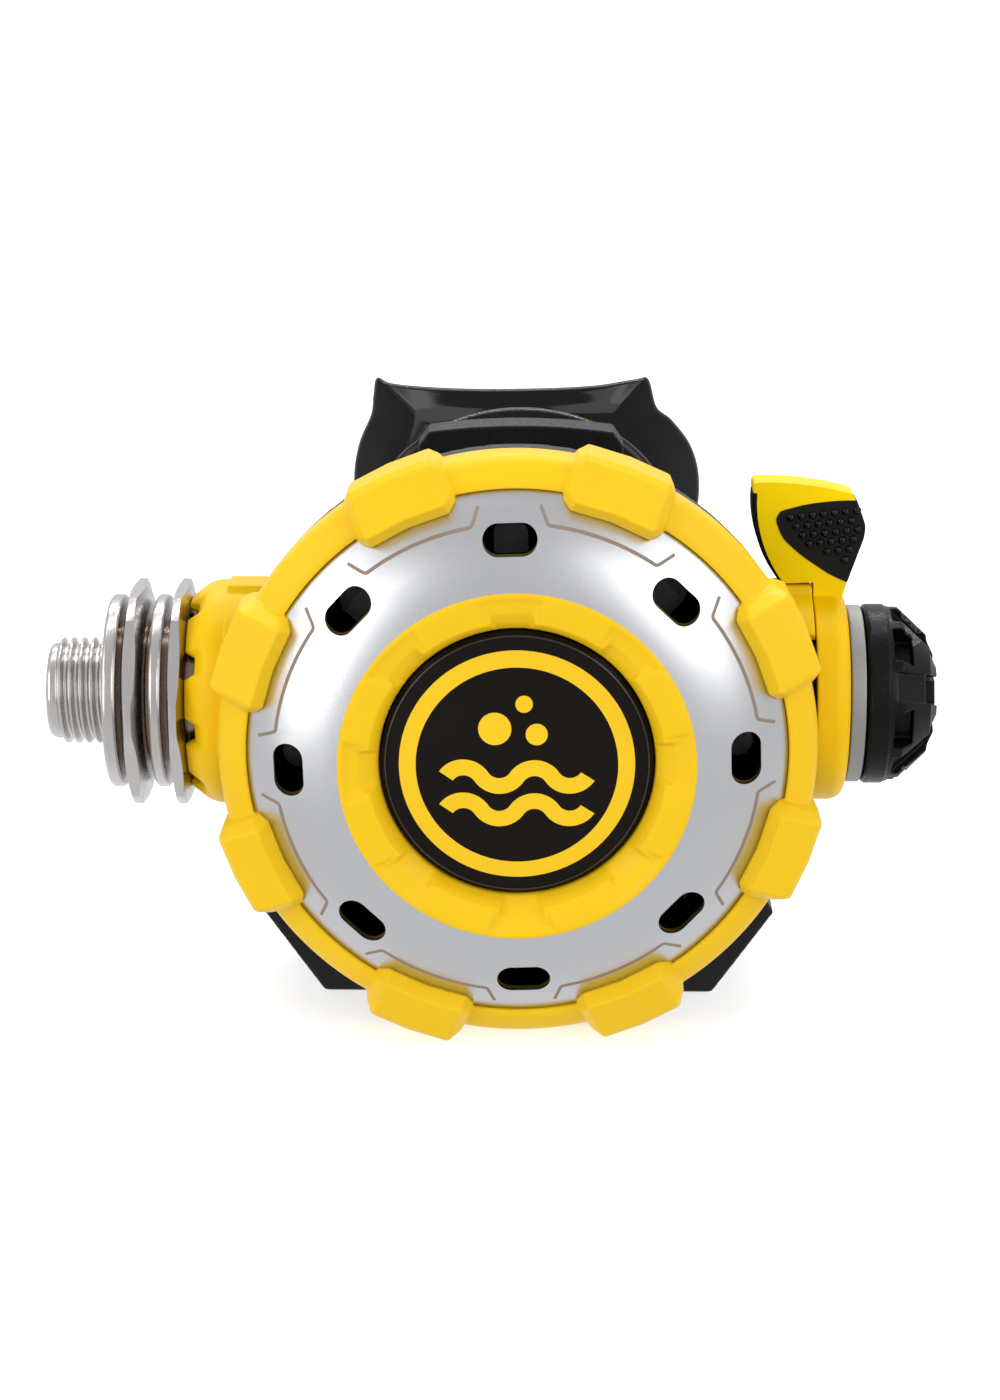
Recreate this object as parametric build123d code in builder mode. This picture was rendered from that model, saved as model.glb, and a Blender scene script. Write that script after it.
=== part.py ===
from build123d import *
import os
from math import cos, radians, sin, sqrt

# Second stage of a scuba regulator, in mm.
# +X runs along the valve barrel away from the hose, +Y towards the diver's mouth, +Z up.
# The origin is the shoulder of the hose inlet, on the barrel axis.
# "x" below is a station along the barrel; "h" is a height in front of the barrel axis (-Y).

# ---- whole object ----
CASE_X = 54.6  # inlet shoulder to the middle of the case
FRONT_Z = -2.6  # the front cover's axis lies this far below the barrel axis
TWIST = 1.8  # degrees the screwed-on cover stops past square
LUGS = 8
LUG_STEP = 360 / LUGS
GAP = 0.05  # play between pieces that are pressed or screwed together
RUN = 0.08  # radial clearance of pieces that turn or slide

# ---- dome of the front cover: an arc revolved about the cover's axis ----
DOME_RADIUS = 22.1
DOME_CENTRE_R = 19.1
DOME_CENTRE_H = 5.35
PLATE_INNER = 22.6
PLATE_OUTER = 34.7
PLATE_THICK = 0.8
COVER_THICK = 1.75
COVER_R = 38.8
COVER_BACK = 14.55
SLOT_R = 29.1
SLOT_LENGTH = 6.9
SLOT_WIDTH = 3.9
RIM_H = 27.2
RIM_BORE = 17.45

# ---- lugs of the cover ----
LUG_R = 40.3
LUG_INNER_R = 33.0
LUG_WIDTH = 13.3
LUG_BEVEL = 1.4
LUG_EDGE_H = 22.2
LUG_RISE = 2.5  # the front face climbs this much over LUG_RUN
LUG_RUN = 6.0

# ---- case ----
CASE_RIM = 38.4
BOWL_R = 36.0
SPIGOT_R = 36.45
SEAT_H = 12.4
SEAT_R = 34.6
BOSS_R = 14.0
BOSS_BORE = 9.5
BOSS_END = 38.6  # from the middle of the case
BOSS_LEFT = CASE_X - BOSS_END
BOSS_RIGHT = CASE_X + BOSS_END
MOUTH_Z = 14.5
MOUTH_A = 15.0
MOUTH_B = 11.5
MOUTH_WALL = 1.8
MOUTH_END = 31.0

# ---- exhaust ----
PORT_Y = 8.0
PORT_R = 9.5
PORT_BORE = 8.0
PORT_Z = -38.4
TEE_FRONT = -2.5
TEE_BACK = 20.0
TEE_WALL = 1.8
TEE_BOTTOM = -42.2
TEE_CORNER = 26.6
TEE_TIP = 34.9
TEE_TIP_Z = -30.5

# ---- barrel ----
THREAD_R = 7.144  # 9/16-18 UNF
THREAD_PITCH = 1.411
THREAD_ROOT = 6.28
CREST = 0.35
CRESTS = 5
THREAD_END = -8.25
FIN_R = 13.0
HEX_R = 15.3
HEX_FLATS = 28.4
FIN_EDGE_R = 12.2  # where the hexagonal fins' lens shape starts
NECK_R = 9.5
SLEEVE_R = 10.9
SPINDLE_R = 8.0
SPINDLE_BORE = 5.5
SPINDLE_START = 15.1
NUT_X = 98.2
NUT_LENGTH = 2.0
KNOB_X = NUT_X + NUT_LENGTH + 0.2

# ---- demand mechanism; the button pushes the lever's tip in by 3.5 ----
PIVOT_X = CASE_X + 14.5
PIVOT_H = 7.6
TIP_H = 12.0
PIN_R = 0.8
ORIFICE_END = 34.6
COLLAR_X = PIVOT_X - 0.2
STEM_R = 1.6
ADJUSTER_X = 81.0
HEX_DRIVE = 6.0

# ---- venturi lever ----
LEVER_X = 93.5
LEVER_WIDTH = 4.5
LEVER_R = 14.25
PADDLE_HALF = 2.6

CASE_CENTRE = (CASE_X, 0, FRONT_Z)
FRONT_AXIS = Axis(CASE_CENTRE, (0, -1, 0))
PROFILE = Plane(origin=CASE_CENTRE, x_dir=(1, 0, 0), z_dir=(0, 0, -1))  # radius, height
LUG_ANGLES = [TWIST + LUG_STEP * (k + 0.5) for k in range(LUGS)]


def front(height):
    """Plane parallel to the cover, this far in front of the barrel axis."""
    return Plane(origin=(CASE_X, -height, FRONT_Z), x_dir=(1, 0, 0), z_dir=(0, -1, 0))


def across(x):
    """Plane square to the barrel: its x is +Y and its y is +Z."""
    return Plane(origin=(x, 0, 0), x_dir=(0, 1, 0), z_dir=(1, 0, 0))


def mouth(y):
    """Plane square to the mouth tube, facing the diver."""
    return Plane(origin=(CASE_X, y, MOUTH_Z), x_dir=(-1, 0, 0), z_dir=(0, 1, 0))


def dome(radius, below=0.0):
    """Height of the cover's dome at a radius, on the surface this far below it."""
    return DOME_CENTRE_H + sqrt((DOME_RADIUS - below) ** 2 - (radius - DOME_CENTRE_R) ** 2)


def turned(*points, plane=Plane.XY, axis=Axis.X, mode=Mode.ADD):
    """Revolve a closed profile; by default its points are (x, radius) on the barrel."""
    with BuildSketch(plane) as profile:
        with BuildLine():
            Polyline(*points, close=True)
        make_face()
    revolve(profile.sketch, axis=axis, mode=mode)


def turned_front(*points, mode=Mode.ADD):
    """Revolve a closed profile of (radius, height) points about the cover's axis."""
    turned(*points, plane=PROFILE, axis=FRONT_AXIS, mode=mode)


def tube(x_start, x_end, inner, outer, mode=Mode.ADD):
    """Plain tube on the barrel axis."""
    turned((x_start, inner), (x_end, inner), (x_end, outer), (x_start, outer), mode=mode)


def o_ring(x, major, minor):
    """O-ring on the barrel axis."""
    with BuildSketch(Plane.XY) as section:
        with Locations((x, major)):
            Circle(minor)
    revolve(section.sketch, axis=Axis.X)


def hex_fin(x_start, x_end):
    """Lens-shaped fin with six flats, on the barrel axis."""
    middle = (x_start + x_end) / 2
    turned(
        (x_start, 0), (x_start, FIN_EDGE_R), (middle - 0.6, HEX_R), (middle + 0.4, HEX_R),
        (x_end, FIN_EDGE_R), (x_end, 0),
    )
    with BuildSketch(across(x_start)) as flats:
        RegularPolygon(HEX_FLATS / 2, 6, major_radius=False)
    extrude(flats.sketch, amount=x_end - x_start, mode=Mode.INTERSECT)


def cut_slots():
    """Eight vent slots through the dome."""
    with BuildSketch(front(COVER_BACK)) as slots:
        with PolarLocations(SLOT_R, LUGS, start_angle=TWIST):
            SlotOverall(SLOT_LENGTH, SLOT_WIDTH, rotation=90)
    extrude(slots.sketch, amount=RIM_H, mode=Mode.SUBTRACT)


# ================= case =================
def bowl(grow=0.0):
    """Outside of the case's bowl, grown by a wall thickness, as a solid of revolution."""
    turned_front(
        (0, -17 - grow), (24 + grow, -17 - grow), (30 + grow, -13 - grow),
        (34.5 + grow, -4 - grow), (BOWL_R + grow, 4), (BOWL_R + grow, 10), (0, 10),
    )


with BuildPart() as case_shell:
    bowl()
    turned_front((0, 9.5), (CASE_RIM, 9.5), (CASE_RIM, 14.5), (SPIGOT_R, 14.5), (SPIGOT_R, 17.9), (0, 17.9))
    tube(BOSS_LEFT, BOSS_RIGHT, 0, BOSS_R)
    with BuildSketch(mouth(8)):
        Ellipse(MOUTH_A, MOUTH_B)
    extrude(amount=MOUTH_END - 8)
    with BuildSketch(Plane.XY.offset(PORT_Z)):
        with Locations((CASE_X, PORT_Y)):
            Circle(PORT_R)
    extrude(amount=10)
    turned_front(
        (0, -15), (23, -15), (28.6, -11.5), (32.2, -3), (33.2, 4), (33.2, SEAT_H),
        (SEAT_R, SEAT_H), (SEAT_R, 18), (0, 18), mode=Mode.SUBTRACT,
    )
    tube(BOSS_LEFT - 1, BOSS_RIGHT + 1, 0, BOSS_BORE, mode=Mode.SUBTRACT)
    tube(BOSS_LEFT + 2, BOSS_LEFT + 3.6, 0, BOSS_BORE + 1.1, mode=Mode.SUBTRACT)
    with BuildSketch(mouth(5)):
        Ellipse(MOUTH_A - MOUTH_WALL, MOUTH_B - MOUTH_WALL)
    extrude(amount=MOUTH_END, mode=Mode.SUBTRACT)
    with BuildSketch(Plane.XY.offset(PORT_Z - 1)):
        with Locations((CASE_X, PORT_Y)):
            Circle(PORT_BORE)
    extrude(amount=12, mode=Mode.SUBTRACT)

with BuildPart() as case_o_ring:
    o_ring(BOSS_LEFT + 2.8, BOSS_BORE + 0.5, 0.5)

# ================= front cover and its trim =================
SEAT = PLATE_THICK + GAP
BACK = SEAT + COVER_THICK


def lug_plane(angle):
    """Plane square to a lug's sloping front face, outside the lug, looking inwards."""
    length = sqrt(LUG_RUN**2 + LUG_RISE**2)
    out = Vector(cos(radians(angle)), 0, sin(radians(angle)))
    ahead = Vector(0, -1, 0)
    side = Vector(sin(radians(angle)), 0, -cos(radians(angle)))
    start_r = LUG_R + 2
    start_h = LUG_EDGE_H - 2 * LUG_RISE / LUG_RUN
    return Plane(
        origin=Vector(*CASE_CENTRE) + out * start_r + ahead * start_h,
        x_dir=side,
        z_dir=ahead * (LUG_RISE / length) - out * (LUG_RUN / length),
    )


with BuildPart() as lug_blocks:
    half = LUG_WIDTH / 2
    for angle in LUG_ANGLES:
        with BuildSketch(lug_plane(angle)):
            with BuildLine():
                Polyline(
                    (-half, -12), (half, -12), (half, -LUG_BEVEL), (half - LUG_BEVEL, 0),
                    (LUG_BEVEL - half, 0), (-half, -LUG_BEVEL), close=True,
                )
            make_face()
        extrude(amount=12)

with BuildPart() as lug_ring:
    with BuildSketch(PROFILE):
        with BuildLine():
            Polyline(
                (35.2, dome(35.2, -GAP)), (36.5, 18.5), (36.5, COVER_BACK), (LUG_R, COVER_BACK),
                (LUG_R, LUG_EDGE_H - 0.9), (LUG_R - 0.9, LUG_EDGE_H + 0.37), (34.4, LUG_EDGE_H + 2.46),
                (LUG_INNER_R, dome(LUG_INNER_R) + 0.5), (LUG_INNER_R, dome(LUG_INNER_R, -GAP)),
            )
            ThreePointArc(
                (LUG_INNER_R, dome(LUG_INNER_R, -GAP)), (34.1, dome(34.1, -GAP)), (35.2, dome(35.2, -GAP))
            )
        make_face()
    revolve(axis=FRONT_AXIS)
    add(lug_blocks.part, mode=Mode.INTERSECT)

with BuildPart() as front_cover:
    with BuildSketch(PROFILE):
        with BuildLine():
            Polyline(
                (34.8, dome(34.8, SEAT)), (34.8, 21.0), (35.3, 21.25), (36.2, 20.9), (38.1, 19.4),
                (COVER_R, 18.2), (COVER_R, COVER_BACK), (SPIGOT_R + GAP, COVER_BACK),
                (SPIGOT_R + GAP, 18.0), (32.9, 18.0), (32.3, dome(32.3, BACK)),
            )
            ThreePointArc((32.3, dome(32.3, BACK)), (27, dome(27, BACK)), (20.5, dome(20.5, BACK)))
            Polyline(
                (20.5, dome(20.5, BACK)), (19.0, 24.2), (19.0, 20.6), (RIM_BORE, 20.6),
                (RIM_BORE, 24.6), (18.2, 26.3), (18.8, 26.9), (20.0, RIM_H), (22.2, RIM_H),
                (22.5, RIM_H - 0.3), (22.5, dome(22.5, SEAT)),
            )
            ThreePointArc((22.5, dome(22.5, SEAT)), (29, dome(29, SEAT)), (34.8, dome(34.8, SEAT)))
        make_face()
    revolve(axis=FRONT_AXIS)
    add(lug_ring.part)
    cut_slots()
    with BuildSketch(front(26.1)):
        with PolarLocations(19.1, LUGS, start_angle=TWIST):
            Trapezoid(7.4, 3.2, 75, rotation=-90)
    extrude(amount=2, mode=Mode.SUBTRACT)

with BuildPart() as trim_plate:
    with BuildSketch(PROFILE):
        with BuildLine():
            ThreePointArc((PLATE_INNER, dome(PLATE_INNER)), (29, dome(29)), (PLATE_OUTER, dome(PLATE_OUTER)))
            Line((PLATE_OUTER, dome(PLATE_OUTER)), (PLATE_OUTER, dome(PLATE_OUTER, PLATE_THICK)))
            ThreePointArc(
                (PLATE_OUTER, dome(PLATE_OUTER, PLATE_THICK)), (29, dome(29, PLATE_THICK)),
                (PLATE_INNER, dome(PLATE_INNER, PLATE_THICK)),
            )
            Line((PLATE_INNER, dome(PLATE_INNER, PLATE_THICK)), (PLATE_INNER, dome(PLATE_INNER)))
        make_face()
    revolve(axis=FRONT_AXIS)
    cut_slots()

# ================= diaphragm, its clamp and the guard behind the cover =================
GUARD_H = 16.4
GUARD_TOP = 18.0
STEM_BUTTON = 3.0  # radius of the purge button's stem, which runs through the guard
CLAMP_R = 34.4
BEAD_INNER = 32.4

with BuildPart() as diaphragm_membrane:
    turned_front(
        (0, 12.9), (24, 12.9), (25.5, 11.6), (28.5, 11.6), (30, 12.9), (33.3, 12.9),
        (33.3, SEAT_H + GAP), (CLAMP_R, SEAT_H + GAP), (CLAMP_R, 13.9), (BEAD_INNER, 13.9),
        (BEAD_INNER, 13.5), (29.7, 13.5), (28.2, 12.2), (25.8, 12.2), (24.3, 13.5), (0, 13.5),
    )

with BuildPart() as diaphragm_ring:
    turned_front((BEAD_INNER, 13.9), (CLAMP_R, 13.9), (CLAMP_R, 14.6), (BEAD_INNER, 14.6))

with BuildPart() as guard_grille:
    turned_front(
        (STEM_BUTTON + RUN, GUARD_H), (BEAD_INNER, GUARD_H), (BEAD_INNER, 14.6), (CLAMP_R, 14.6),
        (CLAMP_R, GUARD_TOP), (STEM_BUTTON + RUN, GUARD_TOP),
    )
    with BuildSketch(front(GUARD_H)):
        with PolarLocations(13.5, LUGS, start_angle=TWIST + LUG_STEP / 2):
            SlotOverall(9.0, 3.6)
        with PolarLocations(26.0, 2 * LUGS, start_angle=TWIST):
            SlotOverall(9.0, 4.4)
    extrude(amount=GUARD_TOP - GUARD_H, mode=Mode.SUBTRACT)

# ================= purge button =================
BUTTON_R = RIM_BORE - RUN
BUTTON_TOP = 26.5
BUTTON_BALL = 97.0
INLAY_FLOOR = 24.8  # bottom of the pockets for the yellow ring and mark
INLAY_TALL = 2.2
RING_INNER = 12.85
RING_OUTER = 15.0
CLIP_GROOVE_R = 2.2
CLIP_H = 15.4


def button_h(radius):
    """Height of the button's crowned face."""
    return BUTTON_TOP - BUTTON_BALL + sqrt(BUTTON_BALL**2 - radius**2)


def emblem_shape():
    """Two rolling waves under three rising bubbles, extruded forward from the inlay's floor."""
    with BuildSketch(front(INLAY_FLOOR)) as shape:
        for wave_y in (-1.3, -5.7):
            with BuildLine():
                for k in range(4):
                    start = -9.0 + 4.5 * k
                    crest = wave_y + (1.2 if k % 2 == 0 else -1.2)
                    ThreePointArc((start, wave_y), (start + 2.25, crest), (start + 4.5, wave_y))
            trace(line_width=2.1)
        for bubble_x, bubble_y, bubble_r in ((-2.8, 5.0, 2.1), (2.5, 4.3, 1.4), (0.9, 8.2, 1.1)):
            with Locations((bubble_x, bubble_y)):
                Circle(bubble_r)
    return extrude(shape.sketch, amount=INLAY_TALL, mode=Mode.PRIVATE)


with BuildPart() as purge_disc:
    with BuildSketch(PROFILE):
        with BuildLine():
            ThreePointArc((0, BUTTON_TOP), (8.5, button_h(8.5)), (16.6, button_h(16.6)))
            Polyline(
                (16.6, button_h(16.6)), (BUTTON_R, 24.5), (BUTTON_R, 22.0), (15.9, 22.0), (15.9, 24.0),
                (STEM_BUTTON, 24.0), (STEM_BUTTON, CLIP_H + 0.85), (CLIP_GROOVE_R, CLIP_H + 0.85),
                (CLIP_GROOVE_R, CLIP_H - GAP), (STEM_BUTTON, CLIP_H - GAP),
                (STEM_BUTTON, 13.8), (0, 13.8), (0, BUTTON_TOP),
            )
        make_face()
    revolve(axis=FRONT_AXIS)
    turned_front(
        (RING_INNER, INLAY_FLOOR), (RING_OUTER, INLAY_FLOOR), (RING_OUTER, 27), (RING_INNER, 27),
        mode=Mode.SUBTRACT,
    )
    add(emblem_shape(), mode=Mode.SUBTRACT)

with BuildPart() as purge_ring:
    with BuildSketch(PROFILE):
        with BuildLine():
            Polyline(
                (RING_OUTER, button_h(RING_OUTER)), (RING_OUTER, INLAY_FLOOR),
                (RING_INNER, INLAY_FLOOR), (RING_INNER, button_h(RING_INNER)),
            )
            ThreePointArc(
                (RING_INNER, button_h(RING_INNER)), (14, button_h(14)),
                (RING_OUTER, button_h(RING_OUTER)),
            )
        make_face()
    revolve(axis=FRONT_AXIS)

with BuildPart() as purge_emblem:
    with BuildSketch(PROFILE):
        with BuildLine():
            ThreePointArc((0, BUTTON_TOP), (8.5, button_h(8.5)), (12.5, button_h(12.5)))
            Polyline((12.5, button_h(12.5)), (12.5, INLAY_FLOOR), (0, INLAY_FLOOR), (0, BUTTON_TOP))
        make_face()
    revolve(axis=FRONT_AXIS)
    add(emblem_shape(), mode=Mode.INTERSECT)

with BuildPart() as purge_clip:
    turned_front(
        (CLIP_GROOVE_R + GAP, CLIP_H), (4.6, CLIP_H), (4.6, CLIP_H + 0.8), (CLIP_GROOVE_R + GAP, CLIP_H + 0.8)
    )
    with BuildSketch(front(CLIP_H)):
        with Locations((3.5, 0)):
            Rectangle(7, 3.2)
    extrude(amount=0.8, mode=Mode.SUBTRACT)


def coil(start, direction, radius, wire, length, turns):
    """Open coil spring."""
    with BuildLine() as path:
        Helix(length / turns, length, radius, center=start, direction=direction)
    with BuildSketch(Plane(origin=path.line @ 0, z_dir=path.line % 0)) as section:
        Circle(wire)
    sweep(section.sketch, path=path.line, is_frenet=True)


with BuildPart() as purge_spring:
    coil((CASE_X, -GUARD_TOP - 0.5, FRONT_Z), (0, -1, 0), 7.0, 0.4, 5.0, 3)

with BuildPart() as diaphragm_plate:
    turned_front((0, 12.3), (11.2, 12.3), (11.5, 12.5), (11.5, 12.9 - GAP), (0, 12.9 - GAP))

# ================= hose inlet, heat exchanger and collars =================
with BuildPart() as inlet_connector:
    hex_fin(2.4, 5.3)
    tube(0, 1.85, 0, FIN_R)
    tube(1.8, 2.5, 0, NECK_R)
    tube(THREAD_END, 0.5, 0, THREAD_R)
    for k in range(CRESTS):
        x_start = -0.4 - k * THREAD_PITCH
        turned(
            (x_start, THREAD_R + 1), (x_start, THREAD_R), (x_start - 0.43, THREAD_ROOT),
            (x_start - 0.63, THREAD_ROOT), (x_start - THREAD_PITCH + CREST, THREAD_R),
            (x_start - THREAD_PITCH + CREST, THREAD_R + 1), mode=Mode.SUBTRACT,
        )
    turned(
        (THREAD_END - 1, 6.3), (THREAD_END, 6.3), (-0.4 - CRESTS * THREAD_PITCH, THREAD_R),
        (-0.4 - CRESTS * THREAD_PITCH, 9), (THREAD_END - 1, 9), mode=Mode.SUBTRACT,
    )
    tube(5.2, 14.0, 0, 7.4)
    tube(11.4, 12.9, 6.4, 8, mode=Mode.SUBTRACT)
    tube(THREAD_END - 1, 15, 0, 3.0, mode=Mode.SUBTRACT)
    tube(THREAD_END - 1, -2.5, 0, 4.9, mode=Mode.SUBTRACT)

with BuildPart() as connector_o_ring:
    o_ring(12.15, 6.95, 0.5)

with BuildPart() as heat_exchanger:
    hex_fin(8.5, 11.0)
    tube(5.3, 8.6, 0, NECK_R)
    tube(6.1, 7.8, 0, FIN_R)
    tube(10.9, 15.9, 0, SLEEVE_R)
    tube(15.8, 22.5, 0, BOSS_BORE - GAP)
    tube(5, 15.0, 0, 7.4 + RUN, mode=Mode.SUBTRACT)
    tube(14.9, 23, 0, SPINDLE_R + RUN, mode=Mode.SUBTRACT)

COLLAR_START = 11.2
COLLAR_NOTCHES = 9
SADDLE_TOP = 15.5


def saddle(x_start, x_end):
    """Sleeve over the upper front of a case boss, with a flat on top."""
    with BuildSketch(across(x_start)) as section:
        Circle(15.2)
        with Locations((-1.0, 13.0)):
            Rectangle(6.0, 2 * (SADDLE_TOP - 13.0))
        Circle(BOSS_R + GAP, mode=Mode.SUBTRACT)
        with Locations((-10, 14.5)):
            Rectangle(24.0, 15, mode=Mode.INTERSECT)
    extrude(section.sketch, amount=x_end - x_start)


with BuildPart() as left_collar:
    turned(
        (COLLAR_START, 11.0), (COLLAR_START, 12.1), (COLLAR_START + 0.4, 12.5), (COLLAR_START + 2.2, 14.4),
        (COLLAR_START + 3.4, 15.1), (BOSS_LEFT, 15.1), (BOSS_LEFT, 11.0),
    )
    saddle(BOSS_LEFT - 1, BOSS_LEFT + 5.1)
    add(case_shell.part, mode=Mode.SUBTRACT)
    add(front_cover.part, mode=Mode.SUBTRACT)
    tube(COLLAR_START, BOSS_LEFT + 0.02, 0, SLEEVE_R + RUN, mode=Mode.SUBTRACT)
    with BuildSketch(across(COLLAR_START - 1)):
        with PolarLocations(12.5, COLLAR_NOTCHES, start_angle=70):
            Rectangle(6, 3.4)
    extrude(amount=1.95, mode=Mode.SUBTRACT)

with BuildPart() as right_saddle:
    saddle(BOSS_RIGHT - 5.1, BOSS_RIGHT + 0.1)
    add(case_shell.part, mode=Mode.SUBTRACT)

# ================= valve train inside the barrel =================
with BuildPart() as valve_spindle:
    tube(SPINDLE_START, NUT_X + NUT_LENGTH, 0, SPINDLE_R)
    for side in (-1, 1):
        with BuildSketch(Plane.XY.offset(side * 5.05)):
            with Locations((PIVOT_X, -6.6)):
                Rectangle(4.0, 5.2)
        extrude(amount=0.75, both=True)
    tube(SPINDLE_START - 1, NUT_X + NUT_LENGTH + 1, 0, SPINDLE_BORE, mode=Mode.SUBTRACT)
    with BuildSketch(Plane.XZ.offset(3.0)):
        with Locations((CASE_X + 7.0, 0)):
            Rectangle(21.0, 8.6)
    extrude(amount=10, mode=Mode.SUBTRACT)
    with BuildSketch(Plane.XZ):
        with Locations((CASE_X - 12, 0)):
            Circle(3.0)
    extrude(amount=-10, mode=Mode.SUBTRACT)
    with BuildSketch(Plane.XY):
        with Locations((PIVOT_X, -PIVOT_H)):
            Circle(PIN_R)
    extrude(amount=7, both=True, mode=Mode.SUBTRACT)

with BuildPart() as lever_pin:
    with BuildSketch(Plane.XY):
        with Locations((PIVOT_X, -PIVOT_H)):
            Circle(PIN_R)
    extrude(amount=5.8, both=True)

with BuildPart() as orifice_seat:
    turned(
        (20, 2.2), (20, 5.4), (23, 5.4), (23, 4.3), (24.6, 4.3), (24.6, 5.4), (29, 5.4), (31, 4.0),
        (33.4, 4.0), (ORIFICE_END, 2.9), (ORIFICE_END, 2.2),
    )

with BuildPart() as orifice_o_ring:
    o_ring(23.8, 4.9, 0.5)

with BuildPart() as poppet:
    turned(
        (35.1, 4.4), (35.1, 4.9), (41, 4.9), (42.5, STEM_R), (COLLAR_X + 11.2, STEM_R), (COLLAR_X + 11.2, 0),
        (36.0, 0), (36.0, 4.4),
    )
    with BuildSketch(across(35)):
        Rectangle(9.2, 9.2)
    extrude(amount=50, mode=Mode.INTERSECT)

with BuildPart() as seat_disc:
    tube(ORIFICE_END + 0.02, 36.0, 0, 4.35)

with BuildPart() as poppet_nut:
    with BuildSketch(across(COLLAR_X)):
        RegularPolygon(3.9, 6, major_radius=False)
        Circle(STEM_R + 0.02, mode=Mode.SUBTRACT)
    extrude(amount=2.5)

with BuildPart() as poppet_spring:
    coil((COLLAR_X + 3.0, 0, 0), (1, 0, 0), 3.0, 0.42, ADJUSTER_X - COLLAR_X - 3.5, 5)

with BuildPart() as demand_lever:
    with BuildSketch(Plane.XY):
        with BuildLine():
            Polyline(
                (PIVOT_X, -PIVOT_H - 2.0), (PIVOT_X - 4.5, -PIVOT_H - 1.6), (CASE_X + 1.5, -TIP_H + 0.6),
                (CASE_X - 0.2, -TIP_H), (CASE_X - 1.2, -TIP_H + 0.4), (CASE_X - 1.4, -TIP_H + 1.3),
                (CASE_X + 1.5, -TIP_H + 1.5), (PIVOT_X - 4.5, -PIVOT_H - 0.2), (PIVOT_X, -PIVOT_H + 0.2),
                close=True,
            )
        make_face()
    extrude(amount=3.2, both=True)
    with BuildSketch(Plane.XY):
        with Locations((PIVOT_X, -PIVOT_H)):
            Circle(2.0)
    extrude(amount=4.0, both=True)
    for side in (-1, 1):
        with BuildSketch(Plane.XY.offset(side * 3.2)):
            with BuildLine():
                Polyline(
                    (PIVOT_X - 1.8, -PIVOT_H), (PIVOT_X + 1.0, -PIVOT_H), (PIVOT_X - 0.5, -2.0),
                    (PIVOT_X - 2.0, -2.0), close=True,
                )
            make_face()
        extrude(amount=0.6, both=True)
    with BuildSketch(Plane.XY):
        with Locations((PIVOT_X, -PIVOT_H)):
            Circle(PIN_R + RUN)
    extrude(amount=7, both=True, mode=Mode.SUBTRACT)

# ================= effort adjuster and its knob =================
with BuildPart() as adjuster_screw:
    turned(
        (ADJUSTER_X, 0), (ADJUSTER_X, 5.4), (90, 5.4), (90, 4.3), (91.6, 4.3), (91.6, 5.4), (95, 5.4),
        (95, 0),
    )
    with BuildSketch(across(95)):
        RegularPolygon(HEX_DRIVE / 2, 6, major_radius=False)
    extrude(amount=12.5)
    tube(ADJUSTER_X - 1, 92, 0, 2.1, mode=Mode.SUBTRACT)

with BuildPart() as adjuster_o_ring:
    o_ring(90.8, 4.9, 0.5)

with BuildPart() as spindle_nut:
    tube(NUT_X, NUT_X + NUT_LENGTH, SPINDLE_R + GAP, 11.9)
    with BuildSketch(across(NUT_X)):
        with PolarLocations(10.0, 2):
            Circle(0.9)
    extrude(amount=NUT_LENGTH, mode=Mode.SUBTRACT)

KNOB_R = 12.05
KNOB_END = 110.2
LOBES = 6
GROOVE_ANGLE = 160.4


def lobe_plane(angle):
    """Plane through the barrel axis: its x is the barrel, its y points out at this angle from +Y."""
    out = Vector(0, cos(radians(angle)), sin(radians(angle)))
    return Plane(origin=(0, 0, 0), x_dir=(1, 0, 0), z_dir=Vector(1, 0, 0).cross(out))


with BuildPart() as effort_knob:
    turned(
        (KNOB_X, 0), (KNOB_X, 11.6), (KNOB_X + 0.5, KNOB_R), (KNOB_X + 2.9, KNOB_R), (KNOB_X + 3.0, 11.8),
        (KNOB_X + 4.7, 11.75), (KNOB_X + 5.1, 11.4), (KNOB_X + 8.7, 8.0), (KNOB_X + 8.85, 7.1),
        (KNOB_X + 9.5, 5.8), (KNOB_END, 5.2), (KNOB_END, 0),
    )
    for k in range(LOBES):
        with BuildSketch(lobe_plane(GROOVE_ANGLE + 60 * k)):
            with BuildLine():
                Polyline(
                    (KNOB_X + 3.2, 13), (KNOB_X + 3.9, 10.9), (KNOB_X + 8.0, 6.9), (KNOB_X + 8.1, 2.6),
                    (KNOB_END + 1, 2.6), (KNOB_END + 1, 13), close=True,
                )
            make_face()
        extrude(amount=1.9, both=True, mode=Mode.SUBTRACT)
    for k in range(LOBES):
        with BuildSketch(lobe_plane(GROOVE_ANGLE + 30 + 60 * k)):
            with BuildLine():
                Polyline(
                    (KNOB_X + 3.5, 13), (KNOB_X + 3.5, 8.4), (KNOB_X + 6.1, 8.4), (KNOB_X + 6.1, 13),
                    close=True,
                )
            make_face()
        extrude(amount=2.5, both=True, mode=Mode.SUBTRACT)
    tube(KNOB_X - 3.2, KNOB_X + 0.1, 0, SPINDLE_BORE - RUN)
    with BuildSketch(across(KNOB_X - 4)):
        RegularPolygon(HEX_DRIVE / 2 + RUN, 6, major_radius=False)
    extrude(amount=12, mode=Mode.SUBTRACT)

# ================= venturi lever =================
VANE_START = CASE_X + 18.0
VANE_R = BOSS_BORE - RUN

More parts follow.
